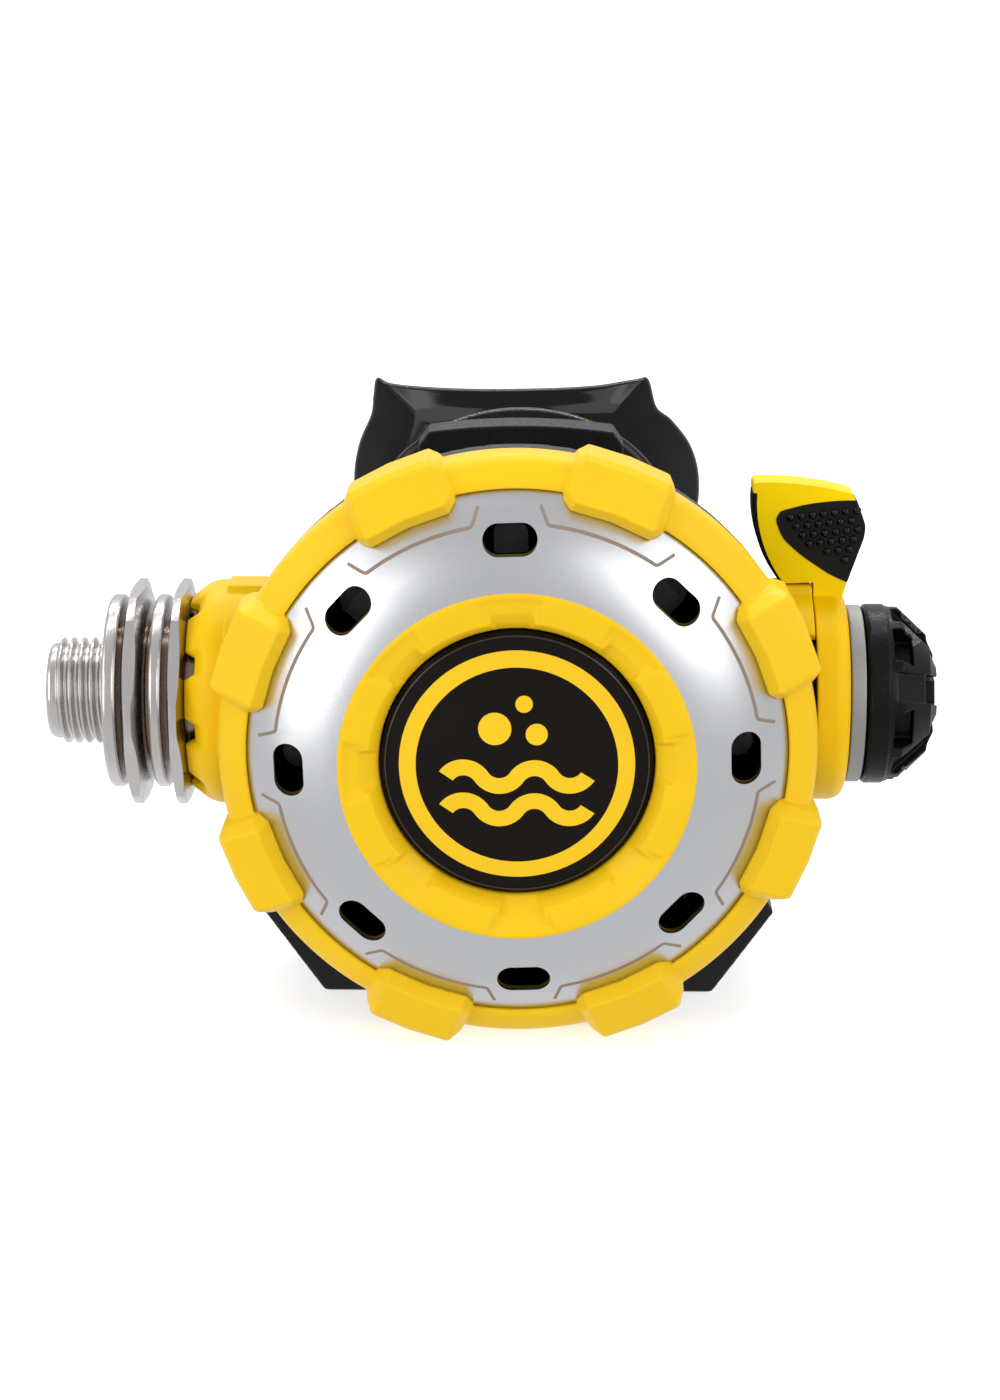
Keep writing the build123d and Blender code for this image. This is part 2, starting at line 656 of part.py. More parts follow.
with BuildPart() as venturi_vane:
    tube(VANE_START, LEVER_X + 3, SPINDLE_R + RUN, VANE_R)
    with BuildSketch(across(VANE_START)):
        Circle(12.0)
        Circle(SPINDLE_R + RUN, mode=Mode.SUBTRACT)
        with BuildLine():
            Polyline((0, 0), (18, 4.8), (18, 14), (10, 18), close=True)
        make_face(mode=Mode.INTERSECT)
    extrude(amount=3)
    with BuildSketch(across(VANE_START - 16.5)):
        Circle(12.0)
        Circle(10.6, mode=Mode.SUBTRACT)
        with BuildLine():
            Polyline((0, 0), (18, 4.8), (18, 14), (10, 18), close=True)
        make_face(mode=Mode.INTERSECT)
    extrude(amount=17)

PADDLE_LEFT = CASE_X + 30.7
PADDLE_TAIL = (PADDLE_LEFT + 4.5, 15.95)
PADDLE_SIDE = (PADDLE_LEFT, 26.0)
PADDLE_RIGHT = (PADDLE_LEFT + 14.9, 23.6)
PADDLE_RIGHT_LOW = (PADDLE_LEFT + 14.7, 22.0)


def paddle_outline():
    """Outline of the lever's paddle, seen from the front, as (x, z)."""
    top_left = (PADDLE_LEFT + 0.3, 30.0)
    top_right = (PADDLE_LEFT + 13.3, 28.4)
    ThreePointArc(top_left, (PADDLE_LEFT + 6.8, 29.8), top_right)
    Polyline(
        top_right, PADDLE_RIGHT, PADDLE_RIGHT_LOW, (PADDLE_LEFT + 11.9, 13.0),
        (PADDLE_LEFT + 8.3, 13.0), (PADDLE_LEFT + 8.3, 15.95), PADDLE_TAIL,
    )
    ThreePointArc(PADDLE_TAIL, (PADDLE_LEFT + 1.3, 20.4), PADDLE_SIDE)
    Line(PADDLE_SIDE, top_left)


def grip_outline():
    """Outline of the rubber pad in the paddle's face, as (x, z)."""
    Polyline(
        (PADDLE_LEFT + 3.1, 24.2), (PADDLE_LEFT + 3.5, 25.4), (PADDLE_LEFT + 7.3, 26.5),
        (PADDLE_LEFT + 11.3, 26.95), (PADDLE_LEFT + 14.1, 27.0), PADDLE_RIGHT, PADDLE_RIGHT_LOW,
        (PADDLE_LEFT + 12.7, 15.9), (PADDLE_LEFT + 10.3, 17.0), (PADDLE_LEFT + 6.7, 19.4),
        (PADDLE_LEFT + 4.0, 21.8), close=True,
    )


GRIP_DEPTH = 1.5

with BuildPart() as venturi_lever:
    with BuildSketch(Plane.XZ):
        with BuildLine():
            paddle_outline()
        make_face()
    extrude(amount=PADDLE_HALF, both=True)
    fillet(venturi_lever.edges().filter_by(Axis.Y).group_by(Axis.Z)[-1], 0.9)
    turned(
        (LEVER_X, 0), (LEVER_X, LEVER_R), (LEVER_X + 3.0, LEVER_R), (LEVER_X + 4.0, 13.7),
        (LEVER_X + LEVER_WIDTH, 12.9), (LEVER_X + LEVER_WIDTH, 0),
    )
    tube(LEVER_X - 1, LEVER_X + 6, 0, VANE_R + 0.03, mode=Mode.SUBTRACT)
    with BuildSketch(Plane.XZ.offset(PADDLE_HALF - GRIP_DEPTH)):
        with BuildLine():
            grip_outline()
        make_face()
    extrude(amount=GRIP_DEPTH + 1, mode=Mode.SUBTRACT)

with BuildPart() as lever_grip:
    with BuildSketch(Plane.XZ.offset(PADDLE_HALF - GRIP_DEPTH)):
        with BuildLine():
            grip_outline()
        make_face()
    extrude(amount=GRIP_DEPTH + 0.15)

with BuildPart() as lever_edge_strip:
    with BuildSketch(Plane.XZ):
        with BuildLine():
            strip_top = (PADDLE_LEFT - 0.5, 26.4)
            strip_foot = (PADDLE_LEFT + 3.8, 15.95)
            ThreePointArc(PADDLE_TAIL, (PADDLE_LEFT + 1.3, 20.4), PADDLE_SIDE)
            Line(PADDLE_SIDE, strip_top)
            ThreePointArc(strip_top, (PADDLE_LEFT + 0.8, 20.2), strip_foot)
            Line(strip_foot, PADDLE_TAIL)
        make_face()
    extrude(amount=PADDLE_HALF - 0.5, both=True)

# ================= mouthpiece =================
NECK_A = 17.4
NECK_B = 13.6
NECK_START = 20.5
NECK_END = 36.0
RIDGE_Y = 43.0
FLANGE_Y = 50.0
FLANGE_HALF = 25.5
FLANGE_TALL = 18.2
FLANGE_THICK = 2.2
FLANGE_WRAP = 10.0

with BuildPart() as lip_flange:
    with BuildSketch(Plane.XY.offset(MOUTH_Z - FLANGE_TALL)):
        with BuildLine():
            left = CASE_X - FLANGE_HALF
            right = CASE_X + FLANGE_HALF
            side_y = FLANGE_Y + FLANGE_WRAP
            ThreePointArc((left, side_y), (CASE_X, FLANGE_Y), (right, side_y))
            back_y = side_y + FLANGE_THICK
            Line((right, side_y), (right, back_y))
            ThreePointArc((right, back_y), (CASE_X, FLANGE_Y + FLANGE_THICK), (left, back_y))
            Line((left, back_y), (left, side_y))
        make_face()
    extrude(amount=2 * FLANGE_TALL)
    with BuildSketch(mouth(FLANGE_Y - 2)):
        RectangleRounded(2 * FLANGE_HALF, 2 * FLANGE_TALL, 13)
    extrude(amount=FLANGE_WRAP + 8, mode=Mode.INTERSECT)

with BuildPart() as mouthpiece:
    with BuildSketch(mouth(NECK_START)):
        Ellipse(NECK_A, NECK_B)
    extrude(amount=NECK_END - NECK_START)
    with BuildSketch(mouth(NECK_END)):
        Ellipse(NECK_A, NECK_B)
    with BuildSketch(mouth(RIDGE_Y)):
        Ellipse(21.5, 16.4)
    loft()
    with BuildSketch(mouth(RIDGE_Y)):
        Ellipse(21.5, 16.4)
    with BuildSketch(mouth(FLANGE_Y + 1)):
        Ellipse(17.0, 13.0)
    loft()
    add(lip_flange.part)
    for side in (-1, 1):
        with BuildSketch(Plane.XY.offset(MOUTH_Z)):
            with Locations((CASE_X + side * 16.5, 61.5)):
                RectangleRounded(9.5, 14.5, 3)
        extrude(amount=1.6, both=True)
        with BuildSketch(Plane.XY.offset(MOUTH_Z)):
            with Locations((CASE_X + side * 16.5, 67.2)):
                RectangleRounded(9.5, 3.1, 1.4)
        extrude(amount=4.0, both=True)
    with BuildSketch(mouth(NECK_START - 1)):
        Ellipse(MOUTH_A + GAP, MOUTH_B + GAP)
    extrude(amount=MOUTH_END - NECK_START + 1.1, mode=Mode.SUBTRACT)
    with BuildSketch(mouth(NECK_START)):
        Ellipse(MOUTH_A - MOUTH_WALL, MOUTH_B - MOUTH_WALL)
    extrude(amount=35, mode=Mode.SUBTRACT)

with BuildPart() as mouthpiece_clamp:
    with BuildSketch(mouth(26.5)):
        Ellipse(NECK_A + 1.5, NECK_B + 1.5)
        with BuildLine():
            ThreePointArc((-13.0, 14.6), (0, 16.9), (13.0, 14.6))
            Polyline((13.0, 14.6), (14.6, 8.0), (-14.6, 8.0), (-13.0, 14.6))
        make_face()
        Ellipse(NECK_A + GAP, NECK_B + GAP, mode=Mode.SUBTRACT)
    extrude(amount=6.5)

# ================= exhaust =================
with BuildPart() as exhaust_spider:
    with BuildSketch(Plane.XY.offset(PORT_Z + 0.2)):
        with Locations((CASE_X, PORT_Y)):
            Circle(PORT_BORE - GAP)
            Circle(6.6, mode=Mode.SUBTRACT)
            with PolarLocations(0, 3):
                with Locations((4.2, 0)):
                    Rectangle(6.4, 1.5)
            Circle(2.2)
            Circle(1.0, mode=Mode.SUBTRACT)
    extrude(amount=1.2)

with BuildPart() as exhaust_valve:
    with BuildSketch(Plane(origin=(CASE_X, PORT_Y, 0), x_dir=(1, 0, 0), z_dir=(0, -1, 0))):
        with BuildLine():
            Polyline(
                (0, PORT_Z - 1.3), (1.5, PORT_Z - 1.2), (9.0, PORT_Z - 0.55), (9.0, PORT_Z - 0.05),
                (0.95, PORT_Z - 0.05), (0.95, PORT_Z + 1.45), (1.5, PORT_Z + 1.5), (1.3, PORT_Z + 2.6),
                (0, PORT_Z + 3.0), close=True,
            )
        make_face()
    revolve(axis=Axis((CASE_X, PORT_Y, 0), (0, 0, 1)))

TEE_TOP = -24.0


def tee_plane(y):
    """Plane parallel to the cover and facing the diver, on the middle of the case."""
    return Plane(origin=(CASE_X, y, 0), x_dir=(-1, 0, 0), z_dir=(0, 1, 0))


def tee_outline(inset):
    """Front outline of the exhaust tee, drawn about the middle of the case."""
    with BuildLine() as outline:
        Polyline(
            (inset - TEE_CORNER, TEE_BOTTOM + inset), (TEE_CORNER - inset, TEE_BOTTOM + inset),
            (TEE_TIP - 1.2 * inset, TEE_TIP_Z), (TEE_TIP - 4.0 - inset, TEE_TOP - inset),
            (4.0 + inset - TEE_TIP, TEE_TOP - inset), (1.2 * inset - TEE_TIP, TEE_TIP_Z), close=True,
        )
    make_face(outline.edges())


with BuildPart() as bowl_clearance:
    bowl(GAP)
    turned_front((0, 9.4), (CASE_RIM + 0.1, 9.4), (CASE_RIM + 0.1, 20), (0, 20))

with BuildPart() as bowl_with_wall:
    bowl(TEE_WALL)

with BuildPart() as tee_hollow:
    with BuildSketch(tee_plane(TEE_FRONT + TEE_WALL)):
        tee_outline(TEE_WALL)
    extrude(amount=TEE_BACK - TEE_FRONT - 2 * TEE_WALL)
    add(bowl_with_wall.part, mode=Mode.SUBTRACT)

with BuildPart() as exhaust_tee:
    with BuildSketch(tee_plane(TEE_FRONT)):
        tee_outline(0)
    extrude(amount=TEE_BACK - TEE_FRONT)
    add(bowl_clearance.part, mode=Mode.SUBTRACT)
    add(tee_hollow.part, mode=Mode.SUBTRACT)
    with BuildSketch(Plane.XY.offset(TEE_BOTTOM + TEE_WALL)):
        with Locations((CASE_X, PORT_Y)):
            Circle(PORT_R + GAP)
    extrude(amount=12, mode=Mode.SUBTRACT)
    for side in (-1, 1):
        slant_x = CASE_X + side * (TEE_CORNER + TEE_TIP) / 2
        slant_middle = (slant_x, 8.7, (TEE_BOTTOM + TEE_TIP_Z) / 2)
        along = Vector(side * (TEE_TIP - TEE_CORNER), 0, TEE_TIP_Z - TEE_BOTTOM).normalized()
        with BuildSketch(Plane(slant_middle, x_dir=(0, 1, 0), z_dir=along.cross(Vector(0, 1, 0)))):
            RectangleRounded(15.0, 10.0, 2.0)
        extrude(amount=5, both=True, mode=Mode.SUBTRACT)

# ================= write one file per piece =================
PIECES = {
    "case_shell": case_shell,
    "case_o_ring": case_o_ring,
    "front_cover": front_cover,
    "trim_plate": trim_plate,
    "diaphragm_membrane": diaphragm_membrane,
    "diaphragm_ring": diaphragm_ring,
    "diaphragm_plate": diaphragm_plate,
    "guard_grille": guard_grille,
    "purge_disc": purge_disc,
    "purge_ring": purge_ring,
    "purge_emblem": purge_emblem,
    "purge_clip": purge_clip,
    "purge_spring": purge_spring,
    "inlet_connector": inlet_connector,
    "connector_o_ring": connector_o_ring,
    "heat_exchanger": heat_exchanger,
    "left_collar": left_collar,
    "right_saddle": right_saddle,
    "valve_spindle": valve_spindle,
    "lever_pin": lever_pin,
    "orifice_seat": orifice_seat,
    "orifice_o_ring": orifice_o_ring,
    "poppet": poppet,
    "seat_disc": seat_disc,
    "poppet_nut": poppet_nut,
    "poppet_spring": poppet_spring,
    "demand_lever": demand_lever,
    "adjuster_screw": adjuster_screw,
    "adjuster_o_ring": adjuster_o_ring,
    "spindle_nut": spindle_nut,
    "effort_knob": effort_knob,
    "venturi_vane": venturi_vane,
    "venturi_lever": venturi_lever,
    "lever_grip": lever_grip,
    "lever_edge_strip": lever_edge_strip,
    "mouthpiece": mouthpiece,
    "mouthpiece_clamp": mouthpiece_clamp,
    "exhaust_spider": exhaust_spider,
    "exhaust_valve": exhaust_valve,
    "exhaust_tee": exhaust_tee,
}

os.makedirs("parts", exist_ok=True)
for name, piece in PIECES.items():
    piece.part.label = name
    export_step(piece.part, f"parts/{name}.step")
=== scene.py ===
import math

import bmesh
import bpy
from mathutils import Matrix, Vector


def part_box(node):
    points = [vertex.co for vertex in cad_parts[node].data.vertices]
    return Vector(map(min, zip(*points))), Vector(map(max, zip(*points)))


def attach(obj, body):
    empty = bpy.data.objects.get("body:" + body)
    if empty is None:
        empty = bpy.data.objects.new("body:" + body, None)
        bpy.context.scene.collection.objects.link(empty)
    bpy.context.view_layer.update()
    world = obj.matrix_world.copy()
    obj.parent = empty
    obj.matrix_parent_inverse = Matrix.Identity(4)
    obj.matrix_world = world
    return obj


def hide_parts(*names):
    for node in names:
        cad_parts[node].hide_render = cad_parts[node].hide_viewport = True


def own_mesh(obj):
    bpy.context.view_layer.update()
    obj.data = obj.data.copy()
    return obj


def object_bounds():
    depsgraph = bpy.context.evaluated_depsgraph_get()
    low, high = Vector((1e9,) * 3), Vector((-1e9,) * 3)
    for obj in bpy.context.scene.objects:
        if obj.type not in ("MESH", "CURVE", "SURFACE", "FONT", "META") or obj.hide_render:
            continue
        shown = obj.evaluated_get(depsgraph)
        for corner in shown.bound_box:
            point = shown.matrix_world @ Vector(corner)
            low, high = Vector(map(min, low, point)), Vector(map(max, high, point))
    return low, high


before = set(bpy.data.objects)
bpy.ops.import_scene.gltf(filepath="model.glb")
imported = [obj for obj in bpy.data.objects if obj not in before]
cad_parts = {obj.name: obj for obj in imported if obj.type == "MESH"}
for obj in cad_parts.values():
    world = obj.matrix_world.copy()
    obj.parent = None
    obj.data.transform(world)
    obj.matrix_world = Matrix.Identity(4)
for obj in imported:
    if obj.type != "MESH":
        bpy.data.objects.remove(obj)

cad_low, cad_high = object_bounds()

# Lengths below are in mm, in the row frame: +X along the barrel, +Y to the mouth, +Z up.
MM = 0.001


def box_mm(node):
    """Lowest and highest corner of a CAD node, in mm."""
    low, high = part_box(node)
    return low / MM, high / MM


PLATE_LOW, PLATE_HIGH = box_mm("trim_plate")
CASE_X = (PLATE_LOW.x + PLATE_HIGH.x) / 2
FRONT_Z = (PLATE_LOW.z + PLATE_HIGH.z) / 2
LUGS = 8
LUG_STEP = 360 / LUGS  # degrees
TWIST = 1.8  # degrees from +X to the first vent slot


# ================= materials =================
def socket(shader, name, value):
    """Set one of a shader's own values."""
    shader.inputs[name].default_value = value


def finish_material(
    name, colour, roughness, metallic=0.0, darker=0.88, patch=70.0, grain=3000.0, spread=0.06,
    bump=0.3, depth=0.006, stretch=(1, 1, 1), specular=0.5,
):
    """Procedural material: colour drifts in soft patches, and roughness and relief follow a fine grain."""
    material = bpy.data.materials.new(name)
    material.use_nodes = True
    nodes, links = material.node_tree.nodes, material.node_tree.links
    shader = nodes["Principled BSDF"]
    place = nodes.new("ShaderNodeTexCoord")
    mapping = nodes.new("ShaderNodeMapping")
    mapping.inputs["Scale"].default_value = stretch
    links.new(place.outputs["Object"], mapping.inputs["Vector"])
    patches = nodes.new("ShaderNodeTexNoise")
    patches.inputs["Scale"].default_value = patch
    patches.inputs["Detail"].default_value = 3.0
    links.new(place.outputs["Object"], patches.inputs["Vector"])
    ramp = nodes.new("ShaderNodeValToRGB")
    ramp.color_ramp.elements[0].position = 0.3
    ramp.color_ramp.elements[0].color = (*[c * darker for c in colour], 1)
    ramp.color_ramp.elements[1].position = 0.65
    ramp.color_ramp.elements[1].color = (*colour, 1)
    links.new(patches.outputs["Fac"], ramp.inputs["Fac"])
    links.new(ramp.outputs["Color"], shader.inputs["Base Color"])
    fine = nodes.new("ShaderNodeTexNoise")
    fine.inputs["Scale"].default_value = grain
    fine.inputs["Detail"].default_value = 2.0
    links.new(mapping.outputs["Vector"], fine.inputs["Vector"])
    rough = nodes.new("ShaderNodeMapRange")
    rough.inputs["From Min"].default_value = 0.3
    rough.inputs["From Max"].default_value = 0.7
    rough.inputs["To Min"].default_value = max(0.02, roughness - spread)
    rough.inputs["To Max"].default_value = min(1.0, roughness + spread)
    links.new(fine.outputs["Fac"], rough.inputs["Value"])
    links.new(rough.outputs["Result"], shader.inputs["Roughness"])
    relief = nodes.new("ShaderNodeBump")
    relief.inputs["Strength"].default_value = bump
    relief.inputs["Distance"].default_value = depth * MM
    links.new(fine.outputs["Fac"], relief.inputs["Height"])
    links.new(relief.outputs["Normal"], shader.inputs["Normal"])
    socket(shader, "Metallic", metallic)
    socket(shader, "Specular IOR Level", specular)
    return material


def add_facet_sheen(material, colour, along_low, along_high, cone_sum):
    """Painted highlight: paler speckled colour on a knob's upper and lower cone facets, where light from
    above and below falls; lengths in metres.

    On the cone the distance from the axis falls as the station grows, so their sum is cone_sum.
    """
    reach_low, tolerance, upright_low = 0.0078, 0.0007, 0.0082
    nodes, links = material.node_tree.nodes, material.node_tree.links
    shader = nodes["Principled BSDF"]
    base = shader.inputs["Base Color"].links[0].from_socket
    place = nodes.new("ShaderNodeTexCoord")
    split = nodes.new("ShaderNodeSeparateXYZ")
    links.new(place.outputs["Object"], split.inputs["Vector"])
    x, y, z = (split.outputs[name] for name in "XYZ")

    def maths(operation, *values):
        node = nodes.new("ShaderNodeMath")
        node.operation = operation
        for index, value in enumerate(values):
            if isinstance(value, (int, float)):
                node.inputs[index].default_value = value
            else:
                links.new(value, node.inputs[index])
        return node.outputs[0]

    reach = maths("SQRT", maths("ADD", maths("MULTIPLY", y, y), maths("MULTIPLY", z, z)))
    mask = maths("COMPARE", maths("ADD", reach, x), cone_sum, tolerance)
    for limit in (
        maths("GREATER_THAN", x, along_low),
        maths("LESS_THAN", x, along_high),
        maths("GREATER_THAN", reach, reach_low),
        maths("GREATER_THAN", maths("ABSOLUTE", z), upright_low),
    ):
        mask = maths("MULTIPLY", mask, limit)
    speckle = nodes.new("ShaderNodeTexNoise")
    speckle.inputs["Scale"].default_value = 3200.0
    links.new(place.outputs["Object"], speckle.inputs["Vector"])
    share = nodes.new("ShaderNodeMapRange")
    share.inputs["From Min"].default_value = 0.35
    share.inputs["From Max"].default_value = 0.65
    links.new(speckle.outputs["Fac"], share.inputs["Value"])
    mix = nodes.new("ShaderNodeMix")
    mix.data_type = "RGBA"
    factor, first, second = mix.inputs[0], mix.inputs[6], mix.inputs[7]
    links.new(maths("MULTIPLY", mask, share.outputs["Result"]), factor)
    links.new(base, first)
    second.default_value = (*colour, 1)
    links.new(mix.outputs[2], shader.inputs["Base Color"])


YELLOW = finish_material(
    "yellow_plastic", (0.885, 0.55, 0.009), 0.42, darker=0.955, grain=2600, spread=0.05,
    bump=0.25, depth=0.008, specular=0.16,
)
DEEP_YELLOW = finish_material(
    "deep_yellow_plastic", (0.865, 0.53, 0.002), 0.36, darker=0.95, grain=2600, spread=0.05,
    bump=0.2, depth=0.008, specular=0.13,
)
LEMON = finish_material(
    "lemon_plastic", (0.97, 0.675, 0.0005), 0.36, darker=0.95, grain=2600, spread=0.05,
    bump=0.2, depth=0.008, specular=0.07,
)
YELLOW_RUBBER = finish_material(
    "yellow_rubber", (0.885, 0.56, 0.012), 0.5, darker=0.95, grain=3500, spread=0.05,
    bump=0.3, depth=0.008, specular=0.2,
)
SHADED_YELLOW = finish_material(
    "shaded_yellow_plastic", (0.16, 0.095, 0.003), 0.6, grain=2600, specular=0.05
)
BLACK = finish_material(
    "black_plastic", (0.007, 0.006, 0.0058), 0.40, darker=0.75, grain=2600, spread=0.1,
    bump=0.8, depth=0.03, specular=0.24,
)
KNOB_BLACK = finish_material(
    "knob_black_plastic", (0.0036, 0.0034, 0.0036), 0.34, darker=0.8, grain=2400, spread=0.1,
    bump=0.7, depth=0.03, specular=0.15,
)
# painted shade: black darkened to almost nothing and without shine, for parts inside the cover and the
# layer behind the vent slots
BLACK_WITH_INNER_SHADE = finish_material(
    "shaded_black_plastic", (0.001, 0.0009, 0.0009), 0.7, darker=0.7, grain=2600,
    bump=0.4, depth=0.02, specular=0.0,
)
BLACK_RUBBER = finish_material(
    "black_rubber", (0.0055, 0.0036, 0.0025), 0.42, darker=0.8, grain=3200,
    bump=0.35, depth=0.012, specular=0.12,
)
PAD_RUBBER = finish_material(
    "pad_rubber", (0.0072, 0.0072, 0.0074), 0.34, darker=0.8, grain=3200, depth=0.01, specular=0.14
)
# painted highlight: a lighter grey that stands for the thin highlight line on the purge button's edge
BEAD_HIGHLIGHT_GREY = finish_material("bead_painted_highlight", (0.02, 0.019, 0.018), 0.16, grain=2500, bump=0.2)
SILICONE_BLACK = finish_material(
    "black_silicone", (0.0040, 0.0029, 0.0024), 0.10, darker=0.8, patch=45, grain=260, spread=0.03,
    bump=0.08, depth=0.03, specular=0.24,
)
SILICONE = finish_material("pale_silicone", (0.42, 0.42, 0.40), 0.5, grain=1500, bump=0.2)
SATIN_STEEL = finish_material(
    "satin_steel", (0.60, 0.605, 0.62), 0.33, metallic=1.0, darker=0.97, patch=40, grain=4200,
    spread=0.05, bump=0.5, depth=0.012,
)
CHROME = finish_material(
    "satin_chrome", (0.58, 0.56, 0.545), 0.25, metallic=1.0, darker=0.93, patch=120, grain=300,
    spread=0.04, bump=0.1, stretch=(14, 1, 1),
)
# painted shade and reflection: chrome darkened to brown for the narrow waists and sleeve between fins and
# collar
RECESS_SHADE_CHROME = finish_material(
    "chrome_painted_recess_shade", (0.24, 0.18, 0.14), 0.22, metallic=1.0, darker=0.8, patch=200, grain=300,
    spread=0.04, bump=0.1, stretch=(14, 1, 1),
)
ALUMINIUM = finish_material(
    "matte_aluminium", (0.34, 0.34, 0.335), 0.55, metallic=1.0, darker=0.95, bump=0.2
)
SPRING_STEEL = finish_material(
    "spring_steel", (0.55, 0.55, 0.56), 0.25, metallic=1.0, grain=1200, bump=0.1
)
BRASS = finish_material("turned_brass", (0.62, 0.42, 0.16), 0.28, metallic=1.0, grain=900, bump=0.1)
ETCH = finish_material("etched_brown", (0.30, 0.225, 0.17), 0.6, grain=2500, specular=0.2)


# ================= mesh helpers =================
def clean(mesh):
    """Merge doubled points and turn every face outwards."""
    work = bmesh.new()
    work.from_mesh(mesh)
    bmesh.ops.remove_doubles(work, verts=work.verts, dist=0.002 * MM)
    bmesh.ops.dissolve_degenerate(work, edges=work.edges, dist=0.0005 * MM)
    bmesh.ops.recalc_face_normals(work, faces=work.faces)
    work.to_mesh(mesh)
    work.free()


def piece(name, points, faces, material, body, nodes=(), weighted=True):
    """Mesh object from points in mm, riding on a CAD body and standing for CAD nodes."""
    mesh = bpy.data.meshes.new(name)
    mesh.from_pydata([Vector(p) * MM for p in points], [], faces)
    clean(mesh)
    mesh.materials.append(material)
    mesh.shade_smooth()
    thing = bpy.data.objects.new(name, mesh)
    bpy.context.scene.collection.objects.link(thing)
    if weighted:
        thing.modifiers.new("even_normals", "WEIGHTED_NORMAL").keep_sharp = True
    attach(thing, body)
    if nodes:
        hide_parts(*nodes)
    return thing


def bend(before, corner, after, radius, steps):
    """Points of a smooth bend that replaces a corner."""
    before, corner, after = Vector(before), Vector(corner), Vector(after)
    back, ahead = before - corner, after - corner
    start = corner + back * min(0.45, radius / max(back.length, 1e-6))
    end = corner + ahead * min(0.45, radius / max(ahead.length, 1e-6))
    found = []
    for k in range(steps + 1):
        t = k / steps
        found.append(start * (1 - t) ** 2 + corner * 2 * t * (1 - t) + end * t**2)
    return found


def rounded(corners, steps=4):
    """Closed outline of (..., radius) corners with each corner bent smoothly."""
    outline = []
    for k, corner in enumerate(corners):
        before, after = corners[k - 1], corners[(k + 1) % len(corners)]
        outline += bend(before[:-1], corner[:-1], after[:-1], max(corner[-1], 0.01), steps)
    return outline


def rounded_path(corners, steps=4):
    """Open path of (..., radius) corners with each inner corner bent smoothly."""
    path = [Vector(corners[0][:-1])]
    for before, corner, after in zip(corners, corners[1:], corners[2:]):
        path += bend(before[:-1], corner[:-1], after[:-1], corner[-1], steps)
    return path + [Vector(corners[-1][:-1])]


def loft(name, columns, material, body, nodes=(), around=True):
    """Skin over closed sections, joined round to the first one or capped at both ends."""
    count = len(columns[0])
    faces = []
    for i in range(len(columns) if around else len(columns) - 1):
        here, there = i * count, (i + 1) % len(columns) * count
        for j in range(count):
            k = (j + 1) % count
            faces.append((here + j, here + k, there + k, there + j))
    if not around:
        faces.append(tuple(range(count)))
        faces.append(tuple(range((len(columns) - 1) * count, len(columns) * count)))
    return piece(name, [p for column in columns for p in column], faces, material, body, nodes)


def on_barrel(x, radius, angle):
    """Point at a station on the barrel, angle in degrees from +Y towards +Z."""
    a = math.radians(angle)
    return (x, radius * math.cos(a), radius * math.sin(a))


def on_front(radius, height, angle):
    """Point on the cover, angle in degrees from +X towards +Z, height in front of the barrel axis."""
    a = math.radians(angle)
    return (CASE_X + radius * math.cos(a), -height, FRONT_Z + radius * math.sin(a))


def turned(name, section, material, body, nodes=(), segments=128, place=on_barrel):
    """Ring of one rounded section turned about the barrel or the cover's axis."""
    outline = rounded(section)
    columns = [[place(p[0], p[1], 360 * k / segments) for p in outline] for k in range(segments)]
    return loft(name, columns, material, body, nodes)


def mixed(first, second, share):
    """Section between two sections with the same corners."""
    return [tuple(a + (b - a) * share for a, b in zip(p, q)) for p, q in zip(first, second)]


def smooth_step(low, high, value):
    """0 below low, 1 above high, smooth between."""
    t = min(1.0, max(0.0, (value - low) / (high - low)))
    return t * t * (3 - 2 * t)


def arc_points(start, middle, end, count):
    """Points after the first on the circle arc through three 2-D points."""
    (ax, ay), (bx, by), (cx, cy) = start, middle, end
    d = 2 * (ax * (by - cy) + bx * (cy - ay) + cx * (ay - by))
    ux = ((ax**2 + ay**2) * (by - cy) + (bx**2 + by**2) * (cy - ay) + (cx**2 + cy**2) * (ay - by)) / d
    uy = ((ax**2 + ay**2) * (cx - bx) + (bx**2 + by**2) * (ax - cx) + (cx**2 + cy**2) * (bx - ax)) / d
    first, last = math.atan2(ay - uy, ax - ux), math.atan2(cy - uy, cx - ux)
    if last - first > math.pi:
        last -= 2 * math.pi
    if first - last > math.pi:
        last += 2 * math.pi
    radius = math.hypot(ax - ux, ay - uy)
    angles = [first + (last - first) * k / count for k in range(1, count + 1)]
    return [(ux + radius * math.cos(a), uy + radius * math.sin(a)) for a in angles]


def plate_block(name, outline, low, high, round_by, material, body, nodes=(), segments=4):
    """Block with a flat outline of (x, z) points between two depths, its edges softly rounded."""
    count = len(outline)
    points = [(x, depth, z) for depth in (low, high) for x, z in outline]
    faces = [tuple(range(count)), tuple(range(count, 2 * count))]
    faces += [(k, (k + 1) % count, (k + 1) % count + count, k + count) for k in range(count)]
    block = piece(name, points, faces, material, body, nodes, weighted=False)
    edge = block.modifiers.new("soft_edge", "BEVEL")
    edge.width = round_by * MM
    edge.segments = segments
    edge.limit_method = "ANGLE"
    edge.angle_limit = math.radians(40)
    block.modifiers.new("even_normals", "WEIGHTED_NORMAL").keep_sharp = True
    return block


